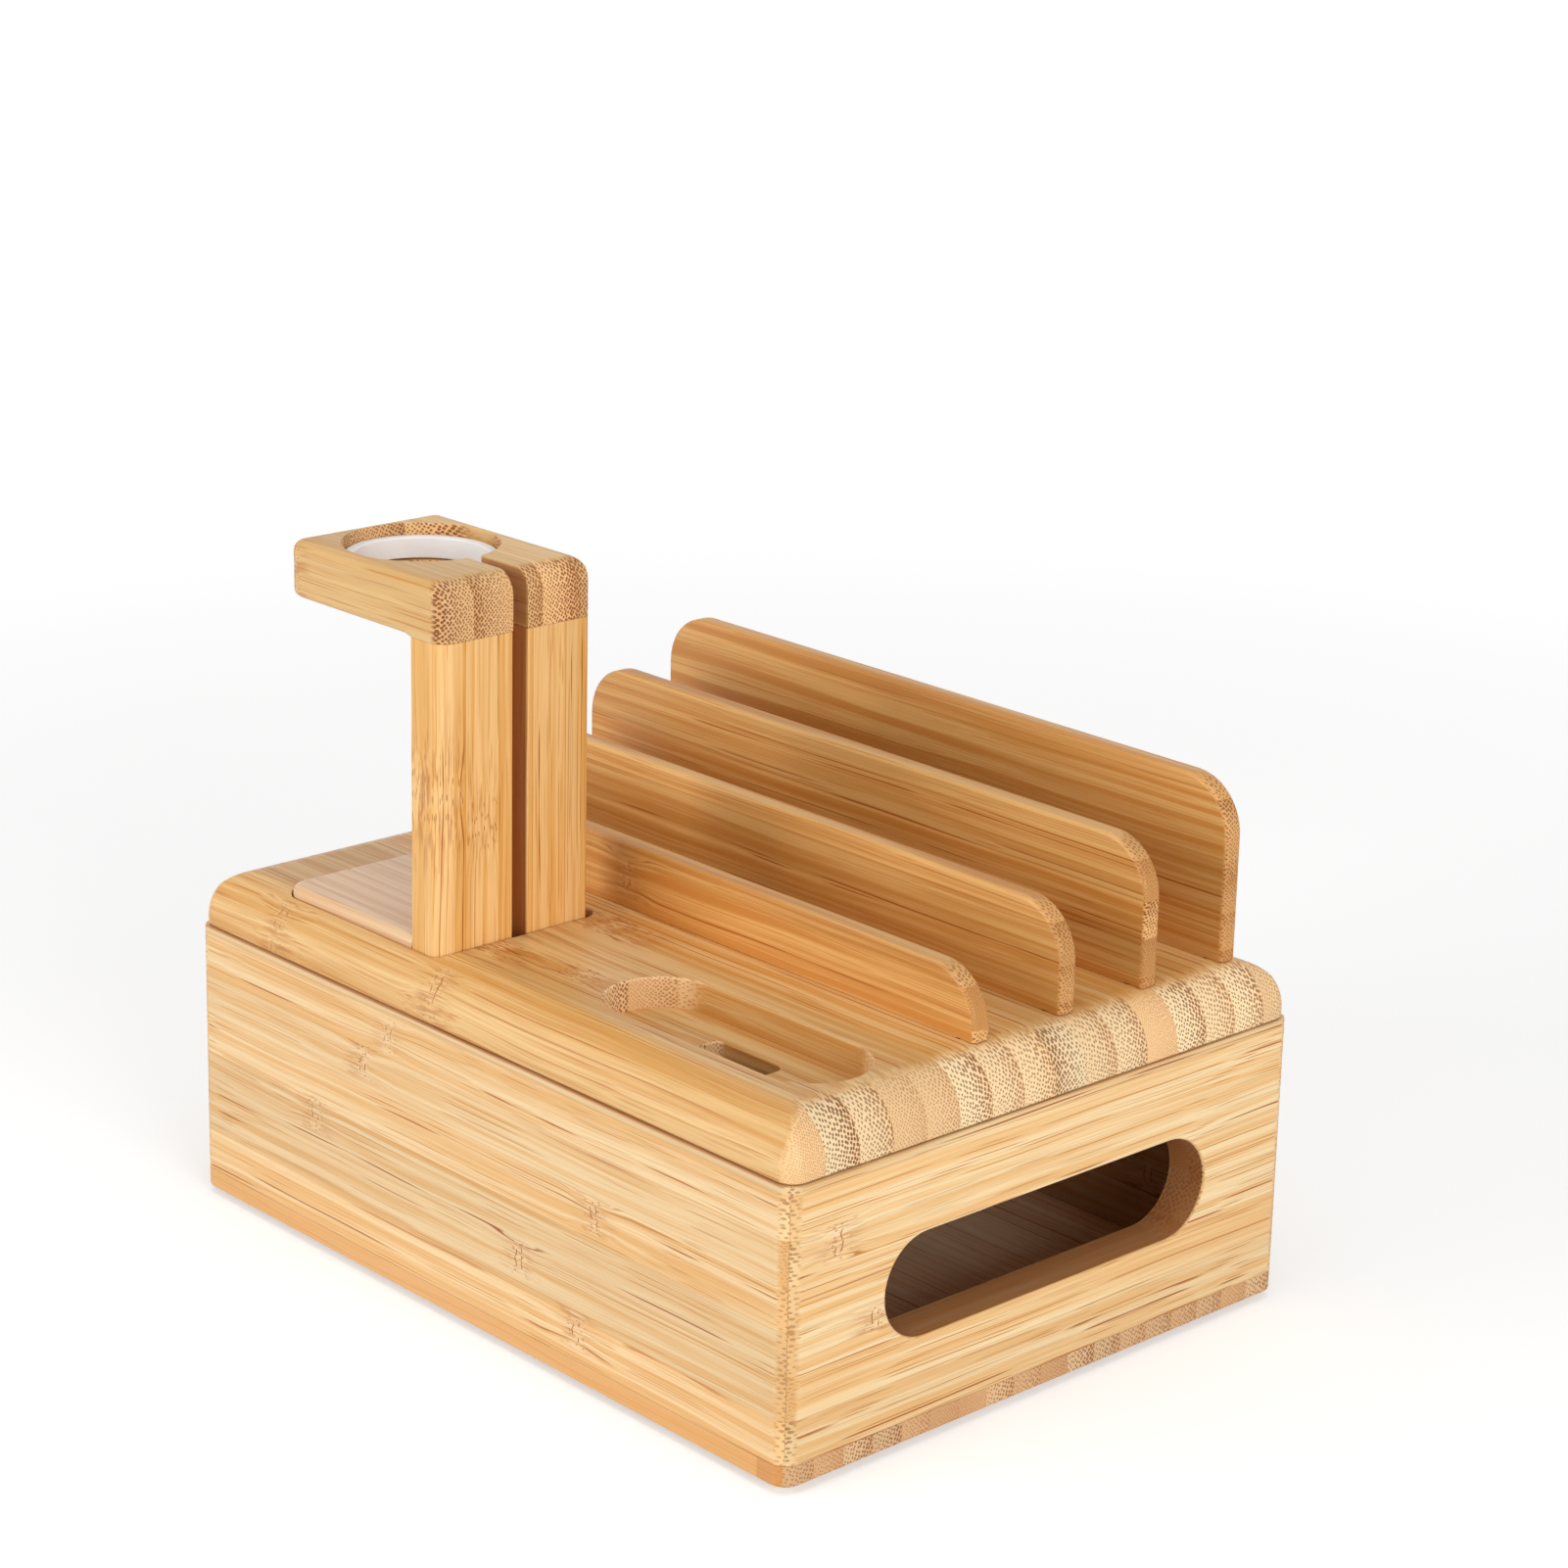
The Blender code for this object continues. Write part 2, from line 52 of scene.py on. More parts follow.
log = logging.getLogger("organizer")

Outline = list[tuple[float, float]]
Draw = Callable[[float], Outline]  # draws an outline for an inset
Colour = tuple[float, float, float]

MM = 0.001
GAP = 0.3 * MM  # air that the frame leaves between two boards
HAIRLINE = 0.05 * MM  # air left at a glued joint
OVERRUN = 2.0 * MM  # how far a cutter reaches past what it cuts
LEAST_RADIUS = 0.02 * MM  # corners of an inset outline stay this round
SMOOTH_ANGLE = math.radians(32)  # steeper steps between faces are drawn as crisp edges
PAST_WOOD = 1.0  # how far a darkened place reaches out of the wood, in millimetres
LARGE_FACES_LEAD = 100  # the highest weight of large faces in the normals round them

# Tones in linear colour
DARK_DOT: Colour = (0.22, 0.055, 0.006)  # bundles in the end grain that shows most
GROOVE_SHADE: Colour = (0.40, 0.09, 0.012)  # painted shade in routed slots and grooves
REVEAL_SHADE: Colour = (0.36, 0.10, 0.02)  # painted shade on the reveals of the openings in the end walls
SHADED: Colour = (0.28, 0.09, 0.02)  # painted shade inside the box
JOINT_SHADE: Colour = (0.46, 0.16, 0.035)  # painted shade on the rims at the joint of box and lid
PANEL_EDGE_TONE: Colour = (0.78, 0.36, 0.05)  # deeper tone along the long edges of the bottom panel
PANEL_CORNER_TONE: Colour = (0.46, 0.14, 0.02)  # the panel's front right corner, drawn darker


# ---------------------------------------------------------------- outlines and solids


class Plane(Enum):
    """The plane an outline is drawn in; the solid grows along the third axis."""

    PLAN = "plan"
    FRONT = "front"
    SIDE = "side"

    def place(self, across: float, up: float, level: float) -> Vector:
        """Return an outline's point in the frame.

        Args:
            across: First coordinate of the outline.
            up: Second coordinate of the outline.
            level: Place along the axis that the solid grows in.

        Returns:
            The point in metres.
        """
        if self is Plane.PLAN:
            return Vector((across, up, level))
        if self is Plane.FRONT:
            return Vector((across, level, up))
        return Vector((level, across, up))


def arc(centre: tuple[float, float], radius: float, start: float, end: float, steps: int) -> Outline:
    """Draw an arc.

    Args:
        centre: Centre of the arc.
        radius: Its radius.
        start: First angle in degrees.
        end: Last angle in degrees.
        steps: Number of straight steps.

    Returns:
        The points of the arc, both ends included.
    """
    angles = [math.radians(start + (end - start) * step / steps) for step in range(steps + 1)]
    return [(centre[0] + radius * math.cos(a), centre[1] + radius * math.sin(a)) for a in angles]


def circle(centre: tuple[float, float], radius: float, count: int) -> Outline:
    """Draw a circle with a number of points, counter-clockwise."""
    return arc(centre, radius, 0, 360 - 360 / count, count - 1)


def rounded_rectangle(
    low: tuple[float, float],
    high: tuple[float, float],
    radii: Sequence[float],
    inset: float = 0.0,
    steps: int = 8,
) -> Outline:
    """Draw a rectangle with round corners; every outline has the same number of points.

    Args:
        low: Lowest corner.
        high: Highest corner.
        radii: Corner radii in the order low-low, high-low, high-high, low-high.
        inset: How far every side moves inward; below zero it grows.
        steps: Straight steps in each corner.

    Returns:
        The outline, counter-clockwise.
    """
    x0, y0, x1, y1 = low[0] + inset, low[1] + inset, high[0] - inset, high[1] - inset
    corners = ((x0, y0, 1, 1, 180), (x1, y0, -1, 1, 270), (x1, y1, -1, -1, 0), (x0, y1, 1, -1, 90))
    points: Outline = []
    for (x, y, inward, upward, start), radius in zip(corners, radii):
        size = max(radius - inset, LEAST_RADIUS)
        points += arc((x + inward * size, y + upward * size), size, start, start + 90, steps)
    return points


def stadium(
    centre: tuple[float, float],
    length: float,
    width: float,
    inset: float = 0.0,
    steps: int = 20,
) -> Outline:
    """Draw a slot with full round ends, long along its first direction.

    Args:
        centre: Middle of the slot.
        length: Whole length.
        width: Whole width.
        inset: How far the outline moves inward; below zero it grows.
        steps: Straight steps in each round end.

    Returns:
        The outline, counter-clockwise.
    """
    radius = width / 2 - inset
    reach = (length - width) / 2
    right = arc((centre[0] + reach, centre[1]), radius, -90, 90, steps)
    left = arc((centre[0] - reach, centre[1]), radius, 90, 270, steps)
    return right + left


def eased(low: float, high: float, low_radius: float, high_radius: float, steps: int = 5) -> Outline:
    """List levels of a solid whose two rims are rounded.

    Args:
        low: Lower end of the solid.
        high: Upper end.
        low_radius: Radius of the lower rim; below zero it flares outward.
        high_radius: Radius of the upper rim; below zero it flares outward.
        steps: Straight steps in each rim.

    Returns:
        Pairs of level and inset.
    """
    levels: Outline = []
    angles = [math.radians(90 * step / steps) for step in range(steps + 1)]
    if low_radius:
        size = abs(low_radius)
        levels += [(low + size * (1 - math.cos(a)), low_radius * (1 - math.sin(a))) for a in angles]
    else:
        levels.append((low, 0.0))
    if high_radius:
        size = abs(high_radius)
        turned = reversed(angles)
        levels += [(high - size * (1 - math.cos(a)), high_radius * (1 - math.sin(a))) for a in turned]
    else:
        levels.append((high, 0.0))
    return levels


def linked(name: str, data: bpy.types.ID) -> bpy.types.Object:
    """Make an object and link it to the scene.

    Args:
        name: Name of the object.
        data: Its mesh, lamp or camera.

    Returns:
        The object.
    """
    made = bpy.data.objects.new(name, data)
    bpy.context.scene.collection.objects.link(made)
    return made


def loft(name: str, rings: Sequence[Sequence[Vector]]) -> bpy.types.Object:
    """Skin a closed solid over rings that all have the same number of points.

    Args:
        name: Name of the object.
        rings: The rings, from one end to the other.

    Returns:
        The object, linked to the scene, at the frame's origin.
    """
    body = bmesh.new()
    rows = [[body.verts.new(point) for point in ring] for ring in rings]
    count = len(rows[0])
    for near, far in zip(rows, rows[1:]):
        for index in range(count):
            after = (index + 1) % count
            body.faces.new((near[index], near[after], far[after], far[index]))
    body.faces.new(rows[0])
    body.faces.new(rows[-1])
    bmesh.ops.recalc_face_normals(body, faces=body.faces)
    mesh = bpy.data.meshes.new(name)
    body.to_mesh(mesh)
    body.free()
    return linked(name, mesh)


def solid(name: str, plane: Plane, outline_at: Draw, levels: Outline) -> bpy.types.Object:
    """Loft a board from one outline that is drawn again at each level with its inset.

    Args:
        name: Name of the object.
        plane: Plane of the outline.
        outline_at: Draws the outline for an inset.
        levels: Pairs of level and inset.

    Returns:
        The object.
    """
    rings = [[plane.place(a, b, level) for a, b in outline_at(inset)] for level, inset in levels]
    return loft(name, rings)


def flared(
    name: str,
    plane: Plane,
    outline_at: Draw,
    floor: float,
    top: float,
    rim: float,
    floor_rim: float = 0.0,
) -> bpy.types.Object:
    """Make a cutter that leaves a rounded rim where it comes out of the wood.

    Args:
        name: Name of the cutter.
        plane: Plane of its outline.
        outline_at: Draws the outline for an inset.
        floor: Level of the pocket's floor, or of the lower face when floor_rim is given.
        top: Level of the face that the cutter comes out of.
        rim: Radius of the rim at the top.
        floor_rim: Radius of the rim at the lower face of a through hole.

    Returns:
        The cutter.
    """
    levels = eased(floor, top, -floor_rim, -rim)
    levels.append((top + OVERRUN, -rim))
    if floor_rim:
        levels.insert(0, (floor - OVERRUN, -floor_rim))
    return solid(name, plane, outline_at, levels)


def carve(piece: bpy.types.Object, cutters: Iterable[bpy.types.Object]) -> None:
    """Cut a piece with solids, keep the cut mesh and remove the cutters.

    Args:
        piece: What is cut.
        cutters: The solids that cut it.
    """
    tools = list(cutters)
    for tool in tools:
        cut = piece.modifiers.new(tool.name, "BOOLEAN")
        cut.operation = "DIFFERENCE"
        cut.solver = "EXACT"
        cut.object = tool
    settle(piece)
    for tool in tools:
        mesh = tool.data
        bpy.data.objects.remove(tool)
        bpy.data.meshes.remove(mesh)


def settle(piece: bpy.types.Object) -> None:
    """Replace a piece's mesh by what its modifiers make of it.

    Args:
        piece: The piece.
    """
    bpy.context.view_layer.update()
    shaped = piece.evaluated_get(bpy.context.evaluated_depsgraph_get())
    before = piece.data
    piece.data = bpy.data.meshes.new_from_object(shaped)
    piece.data.name = piece.name
    piece.modifiers.clear()
    bpy.data.meshes.remove(before)


def shade(piece: bpy.types.Object) -> None:
    """Shade a piece smoothly, with crisp edges and flat faces.

    Args:
        piece: The piece.
    """
    piece.data.shade_smooth()
    piece.data.set_sharp_from_angle(angle=SMOOTH_ANGLE)
    even = piece.modifiers.new("even_faces", "WEIGHTED_NORMAL")
    even.keep_sharp = True
    even.weight = LARGE_FACES_LEAD


def fit(piece: bpy.types.Object, body: str, material: bpy.types.Material, slot: str, *nodes: str) -> None:
    """Give a piece its finish and its place in the frame.

    Args:
        piece: The piece.
        body: The body that it rides on.
        material: Its finish.
        slot: Name of a material slot; not used.
        nodes: The frame's nodes that it stands for.
    """
    piece.data.materials.clear()
    piece.data.materials.append(material)
    shade(piece)
    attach(piece, body)
    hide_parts(*nodes)
    log.info("%s: %d faces on %s", piece.name, len(piece.data.polygons), body)


# ---------------------------------------------------------------- shader graphs


class Value:
    """An output of a node; plain arithmetic on it adds math nodes."""

    def __init__(self, graph: "Graph", socket: bpy.types.NodeSocket) -> None:
        """Keep the socket and the graph that its math nodes go into."""
        self.graph = graph
        self.socket = socket

    def __add__(self, other: Any) -> "Value":
        """Add."""
        return self.graph.math("ADD", self, other)

    def __sub__(self, other: Any) -> "Value":
        """Subtract."""
        return self.graph.math("SUBTRACT", self, other)

    def __rsub__(self, other: Any) -> "Value":
        """Subtract from a number."""
        return self.graph.math("SUBTRACT", other, self)

    def __mul__(self, other: Any) -> "Value":
        """Multiply."""
        return self.graph.math("MULTIPLY", self, other)

    def __truediv__(self, other: Any) -> "Value":
        """Divide."""
        return self.graph.math("DIVIDE", self, other)

    def __abs__(self) -> "Value":
        """Drop the sign."""
        return self.graph.math("ABSOLUTE", self)


class Graph:
    """Short calls that add nodes to one node tree and link them."""

    def __init__(self, tree: bpy.types.NodeTree) -> None:
        """Keep the tree that the calls add to."""
        self.tree = tree

    def feed(self, socket: bpy.types.NodeSocket, value: Any) -> None:
        """Link a socket to a value, or set its constant.

        Args:
            socket: The socket.
            value: The value, or a constant; a colour has three numbers.
        """
        if isinstance(value, Value):
            self.tree.links.new(value.socket, socket)
        else:
            socket.default_value = (*value, 1.0) if socket.type == "RGBA" else value

    def node(self, kind: str, inputs: dict[Any, Any] | None = None, **settings: Any) -> bpy.types.Node:
        """Add a node.

        Args:
            kind: Type of the node.
            inputs: Values or constants for its inputs, by name or index.
            settings: Its own settings.

        Returns:
            The node.
        """
        node = self.tree.nodes.new(kind)
        for name, value in settings.items():
            setattr(node, name, value)
        for name, value in (inputs or {}).items():
            self.feed(node.inputs[name], value)
        return node

    def add(self, kind: str, inputs: dict[Any, Any], output: int | str = 0, **settings: Any) -> Value:
        """Add a node and return one of its outputs; the other arguments are those of node."""
        return Value(self, self.node(kind, inputs, **settings).outputs[output])

    def math(self, operation: str, *values: Any) -> Value:
        """Add a math node and return its result."""
        return self.add("ShaderNodeMath", dict(enumerate(values)), operation=operation)

    def vector(self, operation: str, *values: Any, output: str = "Vector") -> Value:
        """Add a vector math node and return its vector or its value."""
        return self.add("ShaderNodeVectorMath", dict(enumerate(values)), output, operation=operation)

    def combine(self, x: Any, y: Any, z: Any) -> Value:
        """Join three values to a vector."""
        return self.add("ShaderNodeCombineXYZ", {0: x, 1: y, 2: z})

    def split(self, value: Value, kind: str = "XYZ") -> tuple[Value, ...]:
        """Split a vector, or a colour when the kind is Color, into its three values."""
        outputs = self.node("ShaderNodeSeparate" + kind, {0: value}).outputs
        return tuple(Value(self, socket) for socket in outputs)

    def span(
        self, value: Any, low: Any, high: Any, start: Any = 0.0, end: Any = 1.0, way: str = "LINEAR"
    ) -> Value:
        """Map a value straight from low..high to start..end, held at both ends."""
        inputs = {"Value": value, "From Min": low, "From Max": high, "To Min": start, "To Max": end}
        return self.add("ShaderNodeMapRange", inputs, "Result", interpolation_type=way)

    def ease(self, value: Any, low: Any, high: Any, start: Any = 0.0, end: Any = 1.0) -> Value:
        """Map a value as span does, but smoothly."""
        return self.span(value, low, high, start, end, "SMOOTHSTEP")

    def blend(self, factor: Any, first: Any, second: Any, mode: str = "MIX") -> Value:
        """Mix two colours and return the result."""
        inputs = {0: factor, 6: first, 7: second}
        return self.add("ShaderNodeMix", inputs, 2, data_type="RGBA", blend_type=mode)

    def noise(
        self, place: Value, scale: float, detail: float, roughness: float = 0.5, output: int = 0
    ) -> Value:
        """Add a noise texture and return its value, or its colour when the output is 1."""
        inputs = {"Vector": place, "Scale": scale, "Detail": detail, "Roughness": roughness}
        return self.add("ShaderNodeTexNoise", inputs, output)

    def cells(self, place: Value, loose: float = 1.0) -> tuple[Value, Value]:
        """Add a field of flat cells.

        Args:
            place: Place in the field, where cells are one apart.
            loose: How far the cells stray from a square lattice.

        Returns:
            Distance from the middle of the nearest cell, and a tone of that cell.
        """
        inputs = {"Vector": place, "Scale": 1.0, "Randomness": loose}
        found = self.node("ShaderNodeTexVoronoi", inputs, voronoi_dimensions="2D").outputs
        return Value(self, found["Distance"]), self.split(Value(self, found["Color"]), "Color")[0]

    def shared(self, group: bpy.types.NodeTree, inputs: dict[str, Any]) -> dict[str, Value]:
        """Place a shared group with this material's values and return its outputs."""
        outputs = self.node("ShaderNodeGroup", inputs, node_tree=group).outputs
        return {socket.name: Value(self, socket) for socket in outputs}


class GroupGraph(Graph):
    """The graph of a new shader node group with named inputs and outputs."""

    def __init__(self, name: str, inputs: dict[str, Any]) -> None:
        """Start the group.

        Args:
            name: Name of the group.
            inputs: Default of each input; three numbers, or none at all, stand for a vector.
        """
        super().__init__(bpy.data.node_groups.new(name, "ShaderNodeTree"))
        for socket, default in inputs.items():
            kind = "NodeSocketFloat" if isinstance(default, float) else "NodeSocketVector"
            made = self.tree.interface.new_socket(socket, in_out="INPUT", socket_type=kind)
            if default is not None:
                made.default_value = default
        self.inputs = self.node("NodeGroupInput").outputs

    def __getitem__(self, name: str) -> Value:
        """Return an input of the group."""
        return Value(self, self.inputs[name])

    def finish(self, results: dict[str, Value]) -> bpy.types.NodeTree:
        """Give the group its outputs.

        Args:
            results: The value of each output.

        Returns:
            The group.
        """
        for name in results:
            self.tree.interface.new_socket(name, in_out="OUTPUT", socket_type="NodeSocketFloat")
        self.node("NodeGroupOutput", results)
        return self.tree


class MaterialGraph(Graph):
    """The graph of a new material with one principled shader."""

    def __init__(self, name: str, preview: Colour) -> None:
        """Make the material.

        Args:
            name: Name of the material.
            preview: Its colour in plain views.
        """
        self.material = bpy.data.materials.new(name)
        self.material.use_nodes = True
        self.material.diffuse_color = (*preview, 1.0)
        super().__init__(self.material.node_tree)
        self.shader = self.tree.nodes["Principled BSDF"]
        coordinates = self.node("ShaderNodeTexCoord").outputs
        self.place, self.normal = Value(self, coordinates["Object"]), Value(self, coordinates["Normal"])

    def millimetres(self) -> Value:
        """Return the place on the piece in millimetres."""
        return self.add("ShaderNodeVectorMath", {0: self.place, "Scale": 1 / MM}, operation="SCALE")

    def bump(self, height: Value, strength: float, relief: float) -> Value:
        """Return a normal that follows a height; the relief is its size in metres."""
        return self.add("ShaderNodeBump", {"Strength": strength, "Distance": relief, "Height": height})

    def dress(self, looks: dict[str, Any]) -> bpy.types.Material:
        """Set the shader's sockets.

        Args:
            looks: Values or constants by the names of the sockets.

        Returns:
            The material.
        """
        for name, look in looks.items():
            self.feed(self.shader.inputs[name], look)
        return self.material


# ---------------------------------------------------------------- shared effects


@cache
def fibre_group() -> bpy.types.NodeTree:
    """Build the solid texture of bamboo strips with their fibre bundles.

    Returns:
        The group.  Its place is along, across and through the board in millimetres.
    """
    g = GroupGraph(
        "bamboo_fibres",
        {
            "Place": None,
            "Shift": 0.0,
            "Strip Width": 8.0,
            "Strip Start": 0.0,
            "Layer Depth": 9.0,
            "Layer Start": 0.0,
            "Bundle Pitch": 0.8,
            "Chosen Kind": 0.5,
            "Kind Share": 0.0,
            "Seed": 0.0,
        },
    )
    along, across, through = g.split(g["Place"])

    # Each strip of each layer draws its tone, its kind and which way it is turned
    position = (across - g["Strip Start"]) / g["Strip Width"]
    part = g.math("FRACT", position)
    layer = g.math("FLOOR", (through - g["Layer Start"]) / g["Layer Depth"])
    key = g.combine(g.math("FLOOR", position) + g["Seed"], layer, g["Seed"] * 1.7)
    draw = g.add("ShaderNodeTexWhiteNoise", {"Vector": key}, "Color", noise_dimensions="3D")
    tone, drawn_kind, turn = g.split(draw, "Color")
    kind = g.span(g["Kind Share"], 0.0, 1.0, drawn_kind, g["Chosen Kind"])
    mirrored = 1.0 - part
    skin = g.span(g.math("GREATER_THAN", turn, 0.85), 0.0, 1.0, part, mirrored)

    # Fibres wander slowly as they run, so they surface and sink again on the long faces
    far = tone * 71.0
    lazy = g.combine(along * 0.02, across * 0.05, through * 0.05 + far)
    drift = g.vector("SUBTRACT", g.noise(lazy, 1.0, 1.0, output=1), (0.5, 0.5, 0.5))
    drift_x, drift_y, _ = g.split(drift)
    moved = across + drift_x * 1.4 + g["Shift"]
    sunk = through + far + drift_y * 2.6

    def bundle_field(pitch: Any, turned: Any, loose: float) -> tuple[Value, Value]:
        """Lay bundles on a loose lattice across the fibres.

        Args:
            pitch: Distance between two bundles.
            turned: Angle of the lattice.
            loose: How far the bundles stray from it.

        Returns:
            Distance from the nearest bundle in pitches, and a tone of that bundle.
        """
        lattice = g.combine(moved / pitch, sunk / (pitch * 1.15), 0.0)
        inputs = {"Vector": lattice, "Angle": turned}
        return g.cells(g.add("ShaderNodeVectorRotate", inputs, rotation_type="Z_AXIS"), loose)

    pitch = g["Bundle Pitch"] * g.ease(kind, 0.6, 0.95, 1.0, 0.66)
    distance, bundle_tone = bundle_field(pitch, g.span(turn, 0.0, 1.0, 0.35, 0.9), 0.42)
    size = g.span(skin, 0.0, 1.0, 0.22, 0.38) * g.span(kind, 0.0, 1.0, 1.1, 0.85)
    rim = g.ease(distance, size + 0.07, size - 0.06)
    core = g.ease(distance, size * 0.7, 0.0)

    thread, thread_tone = bundle_field(0.55, 0.3, 0.9)
    bold, bold_tone = bundle_field(1.5, 0.7, 1.0)
    gathered = bold_tone + abs(part - 0.5) * 0.8
    return g.finish(
        {
            "Bundles": rim - core * 0.12,
            "Bundle Tone": bundle_tone,
            "Fine": g.noise(g.combine(along * 0.03 + far, moved * 4.5, sunk * 2.0), 1.0, 2.0, 0.6),
            "Threads": g.ease(thread, 0.26, 0.1) * g.ease(thread_tone, 0.25, 0.85),
            "Lines": g.ease(bold, 0.15, 0.05) * g.ease(gathered, 0.45, 1.0),
            "Broad": g.noise(g.combine(along * 0.006 + far, moved * 0.55, sunk * 0.3), 1.0, 3.0, 0.6),
            "Strip Tone": tone,
            "Strip Kind": kind,
            "Skin Side": skin,
            "Seam": g.ease(g.math("MINIMUM", part, mirrored) * g["Strip Width"], 0.16, 0.03),
        }
    )


@cache
def knuckle_group() -> bpy.types.NodeTree:
    """Build one knuckle of a strip: two short marks across it that the fibres part round.

    Returns:
        The group, which gives the marks, a pale halo and how far the fibres are pushed across.
    """
    g = GroupGraph(
        "bamboo_knuckle",
        {
            "Place": None,
            "Along": 0.0,
            "Across": 0.0,
            "Reach": 4.0,
            "Spread": 1.0,
            "Pair": 1.0,
            "Strength": 1.0,
        },
    )
    along, across, through = g.split(g["Place"])
    wobble = (g.noise(g.combine(along * 0.2, across * 0.5, through * 0.3), 1.0, 1.0) - 0.5) * 1.8
    off = abs(along - g["Along"] + wobble)
    side = across - g["Across"]
    beside = abs(side)
    inside = g.ease(beside, g["Reach"], g["Reach"] * 0.75)

    # Two broken marks across the strip
    speckle = g.combine(along * 0.7, across * 0.6, through)
    broken = g.ease(g.noise(speckle, 1.0, 1.5), 0.42, 0.56)
    short = g.ease(beside, g["Reach"] * 0.65, g["Reach"] * 0.4)
    pair_at = abs(off + side * side * 0.06 - 0.9)
    pair = g.ease(pair_at, 0.26, 0.08) * broken * short * g["Pair"]

    # Short dashes and a fine hatch round them, where bent fibres come to the surface
    shrunk = off / g["Spread"]
    distance, tone = g.cells(g.combine(along / (g["Spread"] + 1.0), (across + through) * 1.6, 0.0))
    dash = g.ease(distance, 0.24, 0.12) * g.ease(tone, 0.3, 0.6) * g.ease(shrunk, 4.5, 1.0)
    threads = g.noise(g.combine(along * 0.15, across * 3.2, through), 1.0, 1.0)
    hatch = g.ease(threads, 0.5, 0.62) * g.ease(shrunk, 8.0, 1.0)
    marks = g.math("MAXIMUM", g.math("MAXIMUM", pair, dash * 0.85), hatch * 0.5)
    return g.finish(
        {
            "Marks": marks * inside * g["Strength"],
            "Halo": g.ease(off, 3.0, 0.2) * inside * g["Strength"],
            "Shift": g.ease(off, 11.0, 0.0) * inside * (side * 0.35),
        }
    )


@cache
def hollow_group() -> bpy.types.NodeTree:
    """Build the mask of a box where a board is drawn darker: painted shade in hollows and at joints, and a
    deeper tone on the bottom panel's edges.

    Returns:
        The group; the hollow is a box given by its middle and half its size.
    """
    g = GroupGraph("routed_hollow", {"Place": None, "Middle": (0.0, 0.0, 0.0), "Half": (1.0, 1.0, 1.0)})
    away = g.vector("ABSOLUTE", g.vector("SUBTRACT", g["Place"], g["Middle"]))
    x, y, z = g.split(g.vector("SUBTRACT", away, g["Half"]))
    outside = g.math("MAXIMUM", g.math("MAXIMUM", x, y), z)
    return g.finish({"Mask": g.ease(outside, 0.1, -0.2)})


@cache
def end_grain_group() -> bpy.types.NodeTree:
    """Build the mask of faces that cut across the grain.

    Returns:
        The group; it compares the surface's normal with the way the grain runs, and also tells
        a square cut from a slanting one.
    """
    g = GroupGraph("end_grain", {"Normal": None, "Grain": (1.0, 0.0, 0.0)})
    facing = abs(g.vector("DOT_PRODUCT", g["Normal"], g["Grain"], output="Value"))
    return g.finish({"Mask": g.ease(facing, 0.08, 0.5), "Square Cut": g.ease(facing, 0.5, 0.95)})


@cache
def sanding_group() -> bpy.types.NodeTree:
    """Build the fine unevenness that sanding or moulding leaves on every surface.

    Returns:
        The group, which gives a value round one half and a height.
    """
    g = GroupGraph("fine_surface", {"Place": None})
    grit = g.noise(g["Place"], 6.0, 2.0)
    return g.finish({"Value": g.noise(g["Place"], 0.35, 3.0) * 0.7 + grit * 0.3, "Height": grit})


# ---------------------------------------------------------------- finishes


class Grain(Enum):
    """How a board lies: the axis its fibres run along, then the axis its strips are stacked in."""

    ALONG_X_STACKED_Y = (0, 1, 2)
    ALONG_X_STACKED_Z = (0, 2, 1)
    ALONG_Y_STACKED_Z = (1, 2, 0)
    ALONG_Z_STACKED_Y = (2, 1, 0)


@dataclass(frozen=True)
class Knuckle:
    """One knuckle of a strip: its place along and across the board in millimetres.

    Spread stretches the dashes along the strip, and pair is the weight of the two cross marks.
    """

    along: float
    across: float
    reach: float = 4.0
    spread: float = 1.0
    pair: float = 1.0
    strength: float = 1.0

    def sockets(self) -> dict[str, float]:
        """Return the values by the names of the group's sockets."""
        return {name.capitalize(): value for name, value in asdict(self).items()}


@dataclass(frozen=True)
class Hollow:
    """A box where a board is drawn darker, as painted shade in hollows and at joints and as a deeper tone on
    the panel's edges: two corners in the frame's millimetres, and how dark.
    """

    low: tuple[float, float, float]
    high: tuple[float, float, float]
    depth: float = 0.65
    scorch: Colour = GROOVE_SHADE

    def sockets(self) -> dict[str, Vector]:
        """Return the values by the names of the group's sockets."""
        low, high = Vector(self.low), Vector(self.high)
        return {"Middle": (low + high) / 2, "Half": (high - low) / 2}


